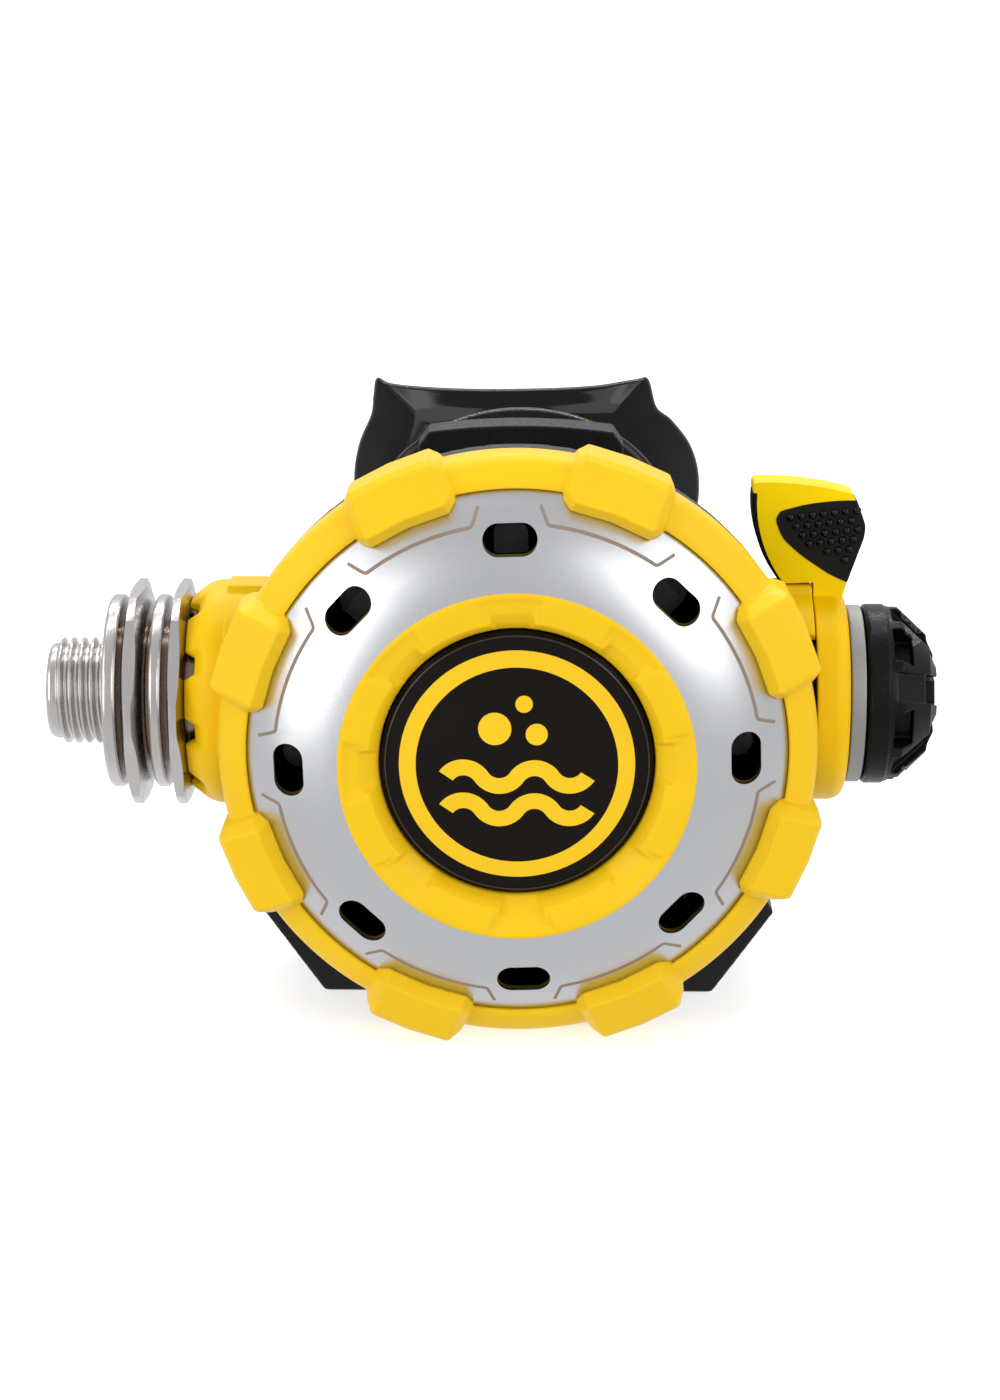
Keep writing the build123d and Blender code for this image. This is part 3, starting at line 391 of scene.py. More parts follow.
def moulded(node, name, material, body, voxel, passes, keep):
    """Soft-edged copy of a CAD node: remeshed finely, its edges worn by smoothing, then thinned."""
    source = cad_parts[node]
    mesh = source.data.copy()
    mesh.materials.clear()
    thing = bpy.data.objects.new(name, mesh)
    bpy.context.scene.collection.objects.link(thing)
    remesh = thing.modifiers.new("fine", "REMESH")
    remesh.mode = "VOXEL"
    remesh.voxel_size = voxel * MM
    wear = thing.modifiers.new("wear", "SMOOTH")
    wear.factor = 0.5
    wear.iterations = passes
    thin = thing.modifiers.new("thin", "DECIMATE")
    thin.ratio = keep
    bpy.context.view_layer.update()
    depsgraph = bpy.context.evaluated_depsgraph_get()
    final = bpy.data.meshes.new_from_object(thing.evaluated_get(depsgraph))
    thing.modifiers.clear()
    thing.data = final
    final.name = name
    final.materials.clear()
    final.materials.append(material)
    final.shade_smooth()
    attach(thing, body)
    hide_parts(node)
    return thing


def dress(node, material):
    """Give a carried CAD node its finished material."""
    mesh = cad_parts[node].data
    mesh.materials.clear()
    mesh.materials.append(material)


# ================= front cover =================
# the trim plate's face is an arc of DOME_RADIUS turned about the cover's axis
DOME_RADIUS, DOME_CENTRE_R, DOME_CENTRE_H = 22.1, 19.1, 5.35
LUG_HALF, LUG_BEVEL = 6.65, 1.4
BACK_H = 14.6  # the bezel's back edge


def dome(radius):
    """Height of the trim plate's face at a radius."""
    return DOME_CENTRE_H + math.sqrt(DOME_RADIUS**2 - (radius - DOME_CENTRE_R) ** 2)


def bezel():
    """Outer ring with eight grip lugs: each section lies between a plain one and a lug's."""
    plain = [
        (34.9, 18.6, 0.1), (34.75, 20.4, 0.1), (34.85, 21.5, 0.35), (35.9, 21.3, 0.8), (38.05, 19.7, 0.8),
        (38.8, 18.3, 0.8), (38.8, BACK_H, 0.3), (36.5, BACK_H, 0.1), (36.5, 17.9, 0.1),
    ]
    lug = [
        (35.6, 20.4, 0.1), (33.1, 21.9, 0.1), (33.05, 22.95, 0.2), (34.55, 24.72, 0.25),
        (39.45, 22.65, 0.3), (40.3, 21.4, 0.3), (40.3, BACK_H, 0.3), (36.5, BACK_H, 0.1), (36.5, 17.9, 0.1),
    ]
    outer_side = (4, 5, 6)  # these corners keep the lug's full radius further along
    side = rounded_path(
        [
            (0, 1, 0), (LUG_HALF - LUG_BEVEL, 1, 0.3), (LUG_HALF - 0.1, 0.4, 0.15),
            (LUG_HALF + 0.12, 0.0, 0.2), (LUG_HALF + 1.3, 0, 0),
        ],
        steps=5,
    )
    foot = side[-1][0]
    gap_steps = 16
    columns = []
    for k in range(LUGS):
        middle = TWIST + LUG_STEP * (k + 0.5)
        stations = [(-1, p) for p in reversed(side[1:])] + [(1, p) for p in side]
        for sign, (lateral, rise) in stations:
            reach = 1 - smooth_step(LUG_HALF - 0.75, LUG_HALF + 0.1, lateral)
            wide = mixed(plain, lug, max(rise, reach))
            section = []
            for i, corner in enumerate(mixed(plain, lug, rise)):
                section.append((wide[i][0], corner[1], corner[2]) if i in outer_side else corner)
            column = []
            for radius, height in rounded(section):
                lean = math.degrees(math.asin(lateral / radius))
                column.append(on_front(radius, height, middle + sign * lean))
            columns.append(column)
        for t in range(1, gap_steps):
            column = []
            for radius, height in rounded(plain):
                lean = math.degrees(math.asin(foot / radius))
                turn = lean + (LUG_STEP - 2 * lean) * t / gap_steps
                column.append(on_front(radius, height, middle + turn))
            columns.append(column)
    return loft("cover_bezel", columns, YELLOW, "case", ["front_cover"])


def rim():
    """Inner rim round the button: eight raised pads, and a lower valley in line with each vent slot."""
    pad = [
        (22.8, 22.2, 0.1), (22.8, 27.2, 0.15), (22.3, 27.4, 0.3), (21.6, 27.4, 0.3), (18.95, 27.15, 0.25),
        (18.25, 26.1, 0.5), (17.6, 24.4, 0.4), (17.47, 20.8, 0.1), (19.2, 20.8, 0.1),
    ]
    valley = [
        (22.8, 22.2, 0.1), (22.8, 27.2, 0.15), (22.3, 27.35, 0.3), (21.6, 26.95, 0.3), (20.1, 26.6, 0.25),
        (18.6, 25.55, 0.5), (17.6, 24.4, 0.4), (17.47, 20.8, 0.1), (19.2, 20.8, 0.1),
    ]
    columns = []
    fine = 720
    for k in range(fine):
        angle = 360 * k / fine
        from_slot = (angle - TWIST + LUG_STEP / 2) % LUG_STEP - LUG_STEP / 2
        column = []
        for p, q in zip(rounded(pad), rounded(valley)):
            # the valley is narrower towards the button
            half = 2.6 + (p[0] - 19.0) * 0.5
            lateral = abs(p[0] * math.sin(math.radians(from_slot)))
            spot = p.lerp(q, 1 - smooth_step(half - 0.25, half + 0.35, lateral))
            column.append(on_front(spot[0], spot[1], angle))
        columns.append(column)
    return loft("cover_rim", columns, YELLOW, "case")


def web(depth, name, material):
    """Layer behind the trim plate, with the same slots, in a material darkened as painted shade of the
    cover's inside.
    """
    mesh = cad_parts["trim_plate"].data.copy()
    for vertex in mesh.vertices:
        vertex.co.y += depth * MM
    mesh.materials.clear()
    mesh.materials.append(material)
    thing = bpy.data.objects.new(name, mesh)
    bpy.context.scene.collection.objects.link(thing)
    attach(thing, "case")


def etched_lines():
    """Thin brown bracket under each lug, lying on the plate's dome, both ends kinked outwards."""
    radius, spread, half_width = 31.0, 13.6, 0.2
    kink_out, kink_along = 2.2, 2.1
    kink_steps = 6
    # across the line as a share of its half width, and up from the plate
    section = ((-1, 0.03), (-0.6, 0.045), (0.6, 0.045), (1, 0.03), (1, -0.06), (-1, -0.06))
    corners = [(radius + kink_out, -spread - kink_along, 0), (radius, -spread, 0.55)]
    corners += [(radius, spread * t / 12, 0.2) for t in range(-11, 12)]
    corners += [(radius, spread, 0.55), (radius + kink_out, spread + kink_along, 0)]
    for k in range(LUGS):
        middle = TWIST + LUG_STEP * (k + 0.5)
        flat = []
        for r, angle, soft in corners:
            turn = math.radians(middle + angle)
            flat.append((r * math.cos(turn), r * math.sin(turn), soft))
        path = rounded_path(flat, 3)
        start = [path[0].lerp(path[1], t / kink_steps) for t in range(kink_steps)]
        end = [path[-2].lerp(path[-1], t / kink_steps) for t in range(1, kink_steps + 1)]
        path = start + path[1:-1] + end
        columns = []
        for i, point in enumerate(path):
            before, after = path[max(0, i - 1)], path[min(len(path) - 1, i + 1)]
            along = (after - before).normalized()
            across = Vector((-along.y, along.x)) * half_width
            column = []
            for share, rise in section:
                spot = point + across * share
                column.append((CASE_X + spot.x, -(dome(spot.length) + rise), FRONT_Z + spot.y))
            columns.append(column)
        loft(f"etched_line_{k + 1}", columns, ETCH, "case", around=False)


def button_bead():
    """Fine bead along the purge button's edge, lighter grey than the button as a painted highlight line."""
    bead = [(16.62, 24.7, 0.03), (16.66, 25.16, 0.06), (16.86, 25.1, 0.06), (17.0, 24.5, 0.03)]
    turned("button_bead", bead, BEAD_HIGHLIGHT_GREY, "purge_button", place=on_front)


# ================= hose inlet and heat exchanger =================
BORE, FIN_R, HEX_R, HEX_FLATS, NECK_R = 3.0, 13.0, 15.3, 28.4, 9.5
THREAD_R, THREAD_PITCH, THREAD_DEPTH, THREAD_END = 7.144, 1.411, 0.86, -8.25


def thread():
    """Male stub with a helical 60-degree thread, bored through."""
    rows, around = 150, 120
    root, tip_mouth, bore_end = THREAD_R - THREAD_DEPTH, 4.9, -2.5
    thread_length = 0.55 + THREAD_END
    columns = []
    for k in range(around):
        turn = k / around
        column = [(0.4, BORE), (0.4, 6.3)]
        for i in range(rows + 1):
            x = thread_length * i / rows
            phase = (x / THREAD_PITCH - turn) % 1.0
            groove = min(1.0, max(0.0, 1.25 - 2.9 * abs(phase - 0.5)))
            groove = groove * groove * (3 - 2 * groove)
            # the groove fades in at the fin, and the last turn is chamfered
            radius = THREAD_R - THREAD_DEPTH * groove * min(1.0, -x / 0.6)
            lead = smooth_step(THREAD_END + 0.7, THREAD_END + 1.7, x)
            column.append((x, root + 0.12 + (radius - root - 0.12) * lead))
        column += [(THREAD_END + 0.2, 6.25), (THREAD_END, 6.0), (THREAD_END, 5.2)]
        column += [(THREAD_END + 0.3, tip_mouth), (bore_end, tip_mouth), (bore_end, BORE)]
        columns.append([on_barrel(x, radius, 360 * turn) for x, radius in column])
    return loft("inlet_thread", columns, CHROME, "case", ["inlet_connector"])


def fin(name, start, end, bore, nodes=()):
    """Round fin with a softly rounded rim."""
    soft = 0.35
    section = [
        (start, bore, 0.02), (start, FIN_R - soft, 0.2), (start + soft, FIN_R, 0.25),
        (end - soft, FIN_R, 0.25), (end, FIN_R - soft, 0.2), (end, bore, 0.02),
    ]
    turned(name, section, CHROME, "case", nodes, 160)


def hex_fin(name, start, end, bore):
    """Lens-shaped fin with six flats: every column meets its flat or its rim exactly."""
    foot, middle = 12.2, (start + end) / 2
    land_low, land_high = middle - 0.6, middle + 0.4
    left_slope = (land_low - start) / (HEX_R - foot)
    right_slope = (end - land_high) / (HEX_R - foot)
    # half the angle that a flat takes up, with a round corner between flats
    half = math.degrees(math.acos(HEX_FLATS / 2 / HEX_R))
    turns = []
    for side in range(6):
        middle_of_flat = 60 * side + 30
        turns += [(middle_of_flat + half * (t / 12 - 1), True) for t in range(24)]
        turns += [(middle_of_flat + half + (60 - 2 * half) * t / 10, False) for t in range(10)]
    columns = []
    for angle, flat in turns:
        from_flat = angle % 60 - 30
        reach = HEX_FLATS / 2 / math.cos(math.radians(from_flat)) if flat else HEX_R
        rise = reach - foot
        section = [
            (start, bore, 0.02), (start, foot - 0.3, 0.3), (start + left_slope * rise, reach, 0.06),
            (end - right_slope * rise, reach, 0.06), (end, foot - 0.3, 0.3), (end, bore, 0.02),
        ]
        columns.append([on_barrel(p[0], p[1], angle) for p in rounded(section, 3)])
    hexagon = loft(name, columns, CHROME, "case")
    hexagon.data.set_sharp_from_angle(angle=math.radians(15))
    return hexagon


def pipe(name, start, end, bore, radius, material, soft=0.15, nodes=()):
    """Plain sleeve on the case with softened edges."""
    section = [(start, bore, 0.02), (start, radius, soft), (end, radius, soft), (end, bore, 0.02)]
    turned(name, section, material, "case", nodes)


def inlet():
    """Everything metal to the left of the case."""
    thread()
    fin("inlet_fin", 0.0, 1.85, BORE)
    # painted shade and reflection: the waists and the sleeve are chrome darkened brown, standing for the
    # shade between fins and collar
    pipe("inlet_waist", 1.7, 2.6, BORE, NECK_R, RECESS_SHADE_CHROME)
    hex_fin("inlet_hex_fin", 2.4, 5.3, BORE)
    pipe("inlet_core", 5.2, 14.0, BORE, 7.4, CHROME)
    pipe("exchanger_waist", 5.3, 8.6, 7.45, NECK_R, RECESS_SHADE_CHROME, nodes=["heat_exchanger"])
    fin("exchanger_fin", 6.1, 7.8, NECK_R - 1)
    hex_fin("exchanger_hex_fin", 8.5, 11.0, 7.45)
    pipe("exchanger_sleeve", 10.9, 16.2, 8.1, 10.9, RECESS_SHADE_CHROME)


# ================= yellow collars on the barrel =================
def collar():
    """Left collar with a castellated edge."""
    start, end, notches, bore = 10.95, 17.2, 9, 11.05
    deep = 1.35
    tooth = [
        (start + 1.2, bore, 0.1), (start, 12.3, 0.1), (start, 12.9, 0.3), (start + 2.1, 14.6, 0.7),
        (start + 3.6, 15.1, 0.8), (end, 15.1, 0.1), (end, bore, 0.1),
    ]
    notch = [
        (start + 1.7, bore, 0.1), (start + deep, 12.3, 0.1), (start + deep, 13.1, 0.15),
        (start + 2.4, 14.6, 0.5), (start + 3.6, 15.1, 0.8), (end, 15.1, 0.1), (end, bore, 0.1),
    ]
    columns = []
    steps, period, first_notch = 540, 360 / notches, 70
    bottom_half, flank = 5.2, 3.6  # degrees
    for k in range(steps):
        angle = 360 * k / steps
        from_notch = abs((angle - first_notch + period / 2) % period - period / 2)
        share = 1 - min(1.0, max(0.0, (from_notch - bottom_half) / flank))
        columns.append([on_barrel(p[0], p[1], angle) for p in rounded(mixed(tooth, notch, share))])
    return loft("left_collar_ring", columns, DEEP_YELLOW, "case", ["left_collar"])


def saddle(name, start, end, last, nodes=()):
    """Curved tab over the upper front of a case boss, flat on top."""
    inner, outer, flat = 14.04, 15.2, 15.5
    first, steps = 82.5, 48
    columns = []
    for k in range(steps + 1):
        angle = first + (last - first) * k / steps
        top = flat / math.sin(math.radians(angle))
        reach = outer + (top - outer) * (1 - smooth_step(103.5, 106.0, angle))
        if k in (0, steps):
            reach -= 0.25
        section = [(start, inner, 0.05), (start, reach, 0.35), (end, reach, 0.35), (end, inner, 0.05)]
        columns.append([on_barrel(p[0], p[1], angle) for p in rounded(section)])
    return loft(name, columns, DEEP_YELLOW, "case", nodes, around=False)


# ================= venturi lever =================
PADDLE_LEFT = box_mm("venturi_lever")[0].x
PADDLE_HALF = 2.6


def lever():
    """Ring round the barrel and a paddle on it, with a rubber pad and a strip on the paddle's edge."""
    start = box_mm("spindle_nut")[0].x - 4.7
    section = [
        (start, 9.55, 0.1), (start, 14.25, 0.35), (start + 3.0, 14.25, 0.5), (start + 4.0, 13.75, 0.5),
        (start + 4.5, 12.9, 0.3), (start + 4.5, 9.55, 0.1),
    ]
    turned("lever_ring", section, DEEP_YELLOW, "venturi", ["venturi_lever"])

    def at(x, z):
        return (PADDLE_LEFT + x, z)

    top = [(*at(0.05, 28.0), 0.1), (*at(0.1, 29.3), 0.8)]
    top += [(*p, 0.3) for p in arc_points(at(0.1, 29.3), at(6.8, 29.05), at(13.25, 27.75), 10)[:-1]]
    top += [(*at(13.25, 27.75), 0.5), (*at(14.6, 23.6), 0.5), (*at(14.5, 22.0), 0.5)]
    foot = [(*at(11.9, 13.2), 0.02), (*at(8.3, 13.2), 0.02), (*at(8.3, 15.72), 0.2)]
    outline = rounded(top + foot, 4)
    outline += [at(4.35, 15.72)] + arc_points(at(4.35, 15.72), at(1.75, 20.4), at(0.6, 27.85), 12)
    plate_block(
        "lever_paddle", outline, -PADDLE_HALF, PADDLE_HALF, 0.6, LEMON, "venturi",
        segments=6,
    )
    pad = rounded(
        [
            (*at(3.05, 24.3), 0.5), (*at(3.6, 25.5), 0.5), (*at(7.3, 26.5), 1.5), (*at(11.3, 26.95), 1.5),
            (*at(13.72, 26.95), 0.2), (*at(14.95, 23.6), 0.6), (*at(14.8, 22.0), 0.6),
            (*at(12.7, 15.9), 0.2), (*at(10.3, 17.0), 1.0), (*at(6.7, 19.4), 1.5), (*at(4.0, 21.8), 1.2),
        ],
        steps=5,
    )
    proud, short, strip_in = 0.16, 0.8, 0.25
    plate_block(
        "lever_pad", pad, -PADDLE_HALF - proud, PADDLE_HALF - short, 0.3, PAD_RUBBER, "venturi",
        ["lever_grip"],
    )
    strip = [at(4.6, 15.8)] + arc_points(at(4.6, 15.8), at(2.1, 20.4), at(1.2, 27.85), 12)
    strip += [at(0.0, 27.9)] + arc_points(at(0.0, 27.9), at(1.15, 20.4), at(3.9, 15.8), 12)
    plate_block(
        "lever_strip", strip, strip_in - PADDLE_HALF, PADDLE_HALF - strip_in, 0.2, BLACK_RUBBER,
        "venturi", ["lever_edge_strip"],
    )
    grip_dots(at)


def grip_dots(at):
    """Rows of small raised dots on the rubber pad, each a flattened half ball."""
    # each row: where its first dot stands and how many dots it has
    rows = (
        (5.0, 24.67, 7), (5.8, 23.47, 6), (6.65, 22.27, 6), (7.55, 21.13, 5), (9.95, 20.11, 3),
        (12.3, 19.03, 1),
    )
    pitch, slope, radius, height = 1.45, 0.115, 0.58, 0.52
    rings, around = 5, 14
    foot = -PADDLE_HALF - 0.1
    points, faces = [], []
    for start, z_start, count in rows:
        for k in range(count):
            x, z = at(start + pitch * k, z_start + slope * pitch * k)
            base = len(points)
            for i in range(rings):
                lift = math.radians(90 * i / rings)
                reach, depth = radius * math.cos(lift), foot - height * math.sin(lift)
                for j in range(around):
                    turn = 2 * math.pi * j / around
                    points.append((x + reach * math.cos(turn), depth, z + reach * math.sin(turn)))
            points.append((x, foot - height, z))
            for i in range(rings - 1):
                here, there = base + i * around, base + (i + 1) * around
                for j in range(around):
                    n = (j + 1) % around
                    faces.append((here + j, here + n, there + n, there + j))
            top = base + rings * around
            for j in range(around):
                faces.append((top - around + j, top - around + (j + 1) % around, top))
            faces.append(tuple(range(base, base + around)))
    piece("lever_dots", points, faces, SILICONE_BLACK, "venturi", weighted=False)


# ================= mouthpiece =================
MOUTH_LOW, MOUTH_HIGH = box_mm("mouthpiece")
MOUTH_Z = (MOUTH_LOW.z + MOUTH_HIGH.z) / 2
FLANGE_Y = 50.0


def closed_curve(points, samples):
    """Smooth closed curve through 2-D points, by Catmull-Rom spans."""
    count = len(points)
    curve = []
    for k in range(samples):
        place = k * count / samples
        i, t = int(place), place - int(place)
        p0, p1, p2, p3 = (Vector(points[(i + d) % count]) for d in (-1, 0, 1, 2))
        curve.append(
            0.5 * (2 * p1 + (p2 - p0) * t + (2 * p0 - 5 * p1 + 4 * p2 - p3) * t**2
                   + (3 * p1 - p0 - 3 * p2 + p3) * t**3)
        )
    return curve


def mouthpiece():
    """Neck, grip ridge, waist and curled lip flange as one skin, bored through for the airway."""
    outline = [
        (27.0, 2.5), (25.6, 7.6), (22.6, 11.9), (20.2, 14.2), (18.9, 18.5), (16.9, 18.7), (10.5, 18.15),
        (0.0, 17.95), (-11.5, 17.7), (-19.6, 17.7), (-22.0, 18.3), (-22.6, 15.6), (-23.0, 12.6),
        (-24.9, 8.0), (-25.8, 3.0), (-25.5, -3.0), (-23.6, -10.0), (-18.5, -15.6), (-9.5, -17.8),
        (0.0, -18.1), (9.5, -17.8), (18.5, -15.6), (24.0, -10.0), (26.6, -3.5),
    ]
    samples = 176
    half_width, half_height, wrap_depth = 25.5, 18.2, 10.0
    edge = closed_curve(outline, samples)
    angles = [math.atan2(p.y / half_height, p.x / half_width) for p in edge]

    def ring(y, a, b):
        return [(a * math.cos(p), y, b * math.sin(p)) for p in angles]

    def flange(share, lift):
        found = []
        for p, q in zip(edge, angles):
            inner = Vector((17.2 * math.cos(q), 13.2 * math.sin(q)))
            flat = inner.lerp(p, share)
            wrap = wrap_depth * (flat.x / half_width) ** 2
            found.append((flat.x, FLANGE_Y + wrap + lift, flat.y))
        return found

    rings = [
        (ring(20.5, 15.1, 11.6), 0.1), (ring(20.5, 17.3, 13.5), 0.4), (ring(36.2, 17.4, 13.6), 0.5),
        (ring(36.6, 19.2, 15.3), 0.6), (ring(38.2, 19.4, 15.5), 0.6), (ring(38.8, 18.0, 14.2), 0.5),
        (ring(39.6, 18.2, 14.4), 0.5), (ring(40.0, 21.6, 16.7), 0.8), (ring(41.8, 22.0, 17.0), 0.8),
        (ring(43.4, 18.6, 14.4), 1.6), (ring(46.2, 16.9, 12.9), 1.8), (flange(0.10, -1.2), 1.2),
        (flange(0.45, -1.3), 2.0), (flange(0.8, -0.3), 1.5), (flange(0.97, 0.1), 0.5),
        (flange(1.0, 0.9), 0.7), (flange(0.97, 2.1), 0.7), (flange(0.5, 2.3), 1.0),
        (flange(-0.1, 2.4), 0.8), (ring(49.0, 13.2, 9.7), 0.8), (ring(31.2, 13.2, 9.7), 0.1),
        (ring(31.1, 15.1, 11.6), 0.1),
    ]
    columns = []
    for k in range(samples):
        section = [(*points[k], radius) for points, radius in rings]
        columns.append([(CASE_X + p[0], p[1], MOUTH_Z + p[2]) for p in rounded(section, 4)])
    loft("mouthpiece_skin", columns, SILICONE_BLACK, "case", ["mouthpiece"])
    for side, name in ((-1, "bite_tab_left"), (1, "bite_tab_right")):
        bite_tab(side, name)


def bite_tab(side, name):
    """Tab held between the teeth: a thin blade with a thick lip at its end."""
    low, high, half, middle = 53.0, 68.7, 4.6, CASE_X + side * 16.5
    blade = [
        (low, -2.4, 0.3), (low, 2.4, 0.8), (low + 2.5, 1.7, 2.0), (high - 4.0, 1.6, 1.5),
        (high - 2.8, 3.9, 1.0), (high, 3.6, 1.4), (high, -3.6, 1.4), (high - 2.8, -3.9, 1.0),
        (high - 4.0, -1.6, 1.5), (low + 2.5, -1.7, 2.0),
    ]
    outline = rounded(blade, 4)
    # the blade shrinks towards both sides, so its edges are round
    stations = [(-half, 0.72), (-half + 0.35, 0.9), (-half + 1.1, 1.0)]
    stations += [(half - 1.1, 1.0), (half - 0.35, 0.9), (half, 0.72)]
    columns = []
    for across, share in stations:
        shorter = 0.97 + 0.03 * share
        column = []
        for y, z in outline:
            column.append((middle + across, low + (y - low) * shorter, MOUTH_Z + z * share))
        columns.append(column)
    loft(name, columns, SILICONE_BLACK, "case", around=False)


def clamp():
    """Matte band round the mouthpiece's neck, with a flat-ended saddle on top."""
    start, end, steps = 26.6, 32.9, 128
    section = rounded([(start, 0.05, 0.05), (start, 1.45, 0.3), (end, 1.45, 0.3), (end, 0.05, 0.05)])
    columns = []
    for k in range(steps):
        a = 2 * math.pi * k / steps
        column = []
        for y, rise in section:
            column.append((CASE_X + (17.4 + rise) * math.cos(a), y, MOUTH_Z + (13.6 + rise) * math.sin(a)))
        columns.append(column)
    loft("clamp_band", columns, BLACK, "case", ["mouthpiece_clamp"])
    outline = [(-14.4, 14.0), (-13.0, 16.0)] + arc_points((-13.0, 16.0), (0, 16.9), (13.0, 16.0), 24)
    outline += [(14.4, 14.0), (14.4, 10.0)]
    outline += arc_points((14.4, 10.0), (0, 14.2), (-14.4, 10.0), 24)[:-1] + [(-14.4, 10.0)]
    outline = [(CASE_X + u, MOUTH_Z + w) for u, w in outline]
    plate_block("clamp_saddle", outline, start - 0.1, end + 0.1, 0.3, BLACK, "case")


# ================= springs =================
def coil(name, start, axis, length, turns, radius, wire, nodes=()):
    """Round-wire compression spring wound about an axis from a start point."""
    axis, start = Vector(axis), Vector(start)
    first = axis.orthogonal().normalized()
    second = axis.cross(first)
    columns = []
    steps, around = int(40 * turns), 10
    for k in range(steps + 1):
        turn = 2 * math.pi * turns * k / steps
        out = first * math.cos(turn) + second * math.sin(turn)
        middle = start + out * radius + axis * (wire + (length - 2 * wire) * k / steps)
        column = []
        for j in range(around):
            a = 2 * math.pi * j / around
            column.append(tuple(middle + out * wire * math.cos(a) + axis * wire * math.sin(a)))
        columns.append(column)
    return loft(name, columns, SPRING_STEEL, "case", nodes, around=False)


def springs():
    """Coil springs in place of the CAD springs: one at the purge button, and two meeting at the middle of
    the poppet spring, each with a mesh of its own.
    """
    low, high = box_mm("purge_spring")
    seat = ((low.x + high.x) / 2, high.y, (low.z + high.z) / 2)
    purge = coil("purge_coil", seat, (0, -1, 0), high.y - low.y, 3, 7.0, 0.4, ["purge_spring"])
    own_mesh(purge)
    low, high = box_mm("poppet_spring")
    half = (high.x - low.x) / 2
    middle = (low.x + half, 0, 0)
    left = coil("poppet_coil_left", middle, (-1, 0, 0), half, 2.5, 3.0, 0.42, ["poppet_spring"])
    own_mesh(left)
    right = coil("poppet_coil_right", middle, (1, 0, 0), half, 2.5, 3.0, 0.42)
    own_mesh(right)


# ================= the whole object =================
def build():
    """Make every piece, and finish every CAD node that is carried over."""
    bezel()
    rim()
    # painted shade: behind the vent slots a darkened yellow layer and a black layer stand in for the shade
    # inside the cover
    web(0.84, "cover_web_front", SHADED_YELLOW)
    web(1.64, "cover_web_back", BLACK_WITH_INNER_SHADE)
    etched_lines()
    button_bead()
    inlet()
    collar()
    saddle("left_collar_tab", 16.0, 21.1, 152.0)
    saddle("right_saddle_tab", 88.1, 93.3, 135.0, ["right_saddle"])
    lever()
    nut_low, nut_high = box_mm("spindle_nut")
    pipe(
        "spindle_nut_ring", nut_low.x, nut_high.x, 8.05, 11.9, ALUMINIUM, soft=0.25,
        nodes=["spindle_nut"],
    )
    mouthpiece()
    clamp()
    springs()
    moulded("case_shell", "case_body", BLACK, "case", 0.4, 4, 0.25)
    moulded("exhaust_tee", "exhaust_tee_body", BLACK, "case", 0.3, 14, 0.3)
    moulded("effort_knob", "knob_body", KNOB_BLACK, "knob", 0.14, 5, 0.5)
    knob_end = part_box("effort_knob")[1].x
    # painted highlight: paler speckles on the knob's top and bottom facets
    add_facet_sheen(KNOB_BLACK, (0.15, 0.15, 0.16), 0.1056, 0.1093, knob_end + 0.0066)
    finishes = {
        SATIN_STEEL: ("trim_plate", "diaphragm_plate"),
        BLACK_RUBBER: (
            "purge_disc", "case_o_ring", "connector_o_ring", "orifice_o_ring", "adjuster_o_ring",
        ),
        YELLOW_RUBBER: ("purge_ring", "purge_emblem"),
        # the guard grille and diaphragm ring inside the cover take this black darkened as painted shade
        BLACK_WITH_INNER_SHADE: ("guard_grille", "diaphragm_ring"),
        BLACK: ("poppet", "venturi_vane", "exhaust_spider"),
        SILICONE: ("diaphragm_membrane", "seat_disc", "exhaust_valve"),
        SPRING_STEEL: ("purge_clip", "lever_pin", "demand_lever"),
        CHROME: ("valve_spindle", "orifice_seat"),
        BRASS: ("poppet_nut", "adjuster_screw"),
    }
    for material, nodes in finishes.items():
        for node in nodes:
            dress(node, material)


# ================= studio =================
def area_light(name, place, size, power, colour=(1, 1, 1)):
    """Soft box aimed at the object."""
    data = bpy.data.lights.new(name, "AREA")
    data.shape = "RECTANGLE"
    data.size, data.size_y = size
    data.energy = power
    data.color = colour
    light = bpy.data.objects.new(name, data)
    light.location = place
    light.visible_camera = False
    target = Vector((CASE_X, 0, FRONT_Z)) * MM
    light.rotation_euler = (target - light.location).to_track_quat("-Z", "Y").to_euler()
    bpy.context.scene.collection.objects.link(light)


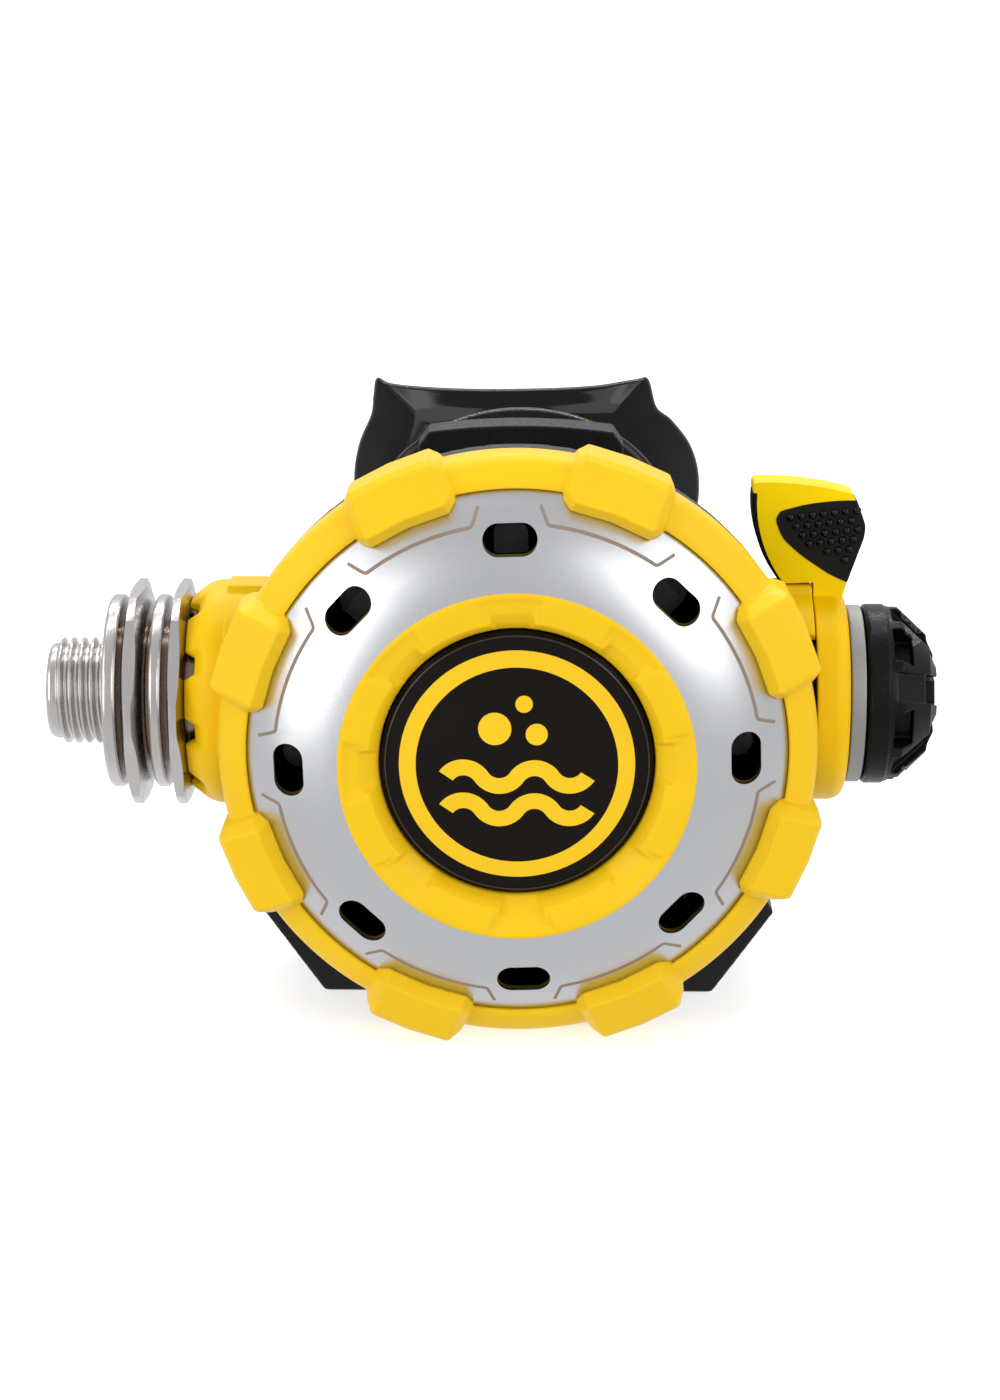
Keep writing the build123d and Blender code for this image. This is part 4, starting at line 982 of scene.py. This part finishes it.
def studio():
    """Pale floor that curves up into a backdrop, soft boxes and the camera."""
    floor_z = cad_low.z
    bend_y, bend_radius = 0.9, 0.5
    profile = [(-1.6, 0.0), (bend_y, 0.0)]
    for degrees in range(10, 91, 10):
        a = math.radians(degrees)
        profile.append((bend_y + bend_radius * math.sin(a), bend_radius - bend_radius * math.cos(a)))
    profile.append((bend_y + bend_radius, 1.8))
    mesh = bpy.data.meshes.new("backdrop")
    points = [(x, y, floor_z + z) for y, z in profile for x in (-2.2, 2.3)]
    quads = [(2 * k, 2 * k + 1, 2 * k + 3, 2 * k + 2) for k in range(len(profile) - 1)]
    mesh.from_pydata(points, [], quads)
    paper = finish_material(
        "backdrop_paper", (0.62, 0.62, 0.62), 0.75, darker=0.99, patch=6, grain=400, specular=0.1
    )
    # a light of its own keeps the paper white all over
    shader = paper.node_tree.nodes["Principled BSDF"]
    socket(shader, "Emission Color", (1, 1, 1, 1))
    socket(shader, "Emission Strength", 0.64)
    mesh.materials.append(paper)
    mesh.shade_smooth()
    backdrop = bpy.data.objects.new("backdrop", mesh)
    bpy.context.scene.collection.objects.link(backdrop)
    # only the camera and shadows meet the paper; the object is lit by the soft boxes and the air
    backdrop.visible_glossy = False
    backdrop.visible_diffuse = False

    area_light("soft_left", (-0.47, -0.50, 0.13), (0.46, 0.50), 1.75)
    area_light("soft_right", (0.47, -0.52, 0.24), (0.42, 0.42), 1.25)
    area_light("high_left", (-0.64, -0.28, 0.43), (0.32, 0.32), 0.7)
    area_light("high_right", (0.64, -0.28, 0.43), (0.32, 0.32), 0.7)
    area_light("soft_top", (0.0, 0.22, 0.9), (1.0, 0.11), 2.5)
    area_light("strip_behind", (0.05, 0.55, 0.62), (0.8, 0.016), 2.6)
    studio_air()
    bpy.context.scene.view_settings.view_transform = "Standard"
    photo_camera()


def studio_air():
    """Even white surroundings, a little brighter behind the object and below it."""
    world = bpy.data.worlds.new("studio_air")
    world.use_nodes = True
    nodes, links = world.node_tree.nodes, world.node_tree.links
    place = nodes.new("ShaderNodeTexCoord")
    split = nodes.new("ShaderNodeSeparateXYZ")
    links.new(place.outputs["Generated"], split.inputs["Vector"])
    strength = nodes.new("ShaderNodeMath")
    strength.operation = "MULTIPLY"
    for index, (axis, *values) in enumerate((("Y", -0.5, 0.5, 0.68, 0.85), ("Z", -0.6, 0.0, 1.25, 1.0))):
        slope = nodes.new("ShaderNodeMapRange")
        slope.interpolation_type = "SMOOTHSTEP"
        for name, value in zip(("From Min", "From Max", "To Min", "To Max"), values):
            slope.inputs[name].default_value = value
        links.new(split.outputs[axis], slope.inputs["Value"])
        links.new(slope.outputs["Result"], strength.inputs[index])
    background = nodes["Background"]
    background.inputs["Color"].default_value = (0.98, 0.985, 1.0, 1)
    links.new(strength.outputs[0], background.inputs["Strength"])
    bpy.context.scene.world = world


def photo_camera():
    """Camera fitted to the round parts in the photograph."""
    camera = bpy.data.objects.new("camera", bpy.data.cameras.new("camera"))
    camera.location = Vector((CASE_X, 0, FRONT_Z)) * MM + Vector((0.00345, -0.39388, 0.11164))
    camera.rotation_euler = (math.radians(74.37), 0, math.radians(0.87))
    camera.data.sensor_fit = "VERTICAL"
    camera.data.sensor_height = 36
    camera.data.sensor_width = 36
    camera.data.lens = 78.03
    camera.data.clip_start = 0.01
    bpy.context.scene.collection.objects.link(camera)
    bpy.context.scene.camera = camera


build()
studio()
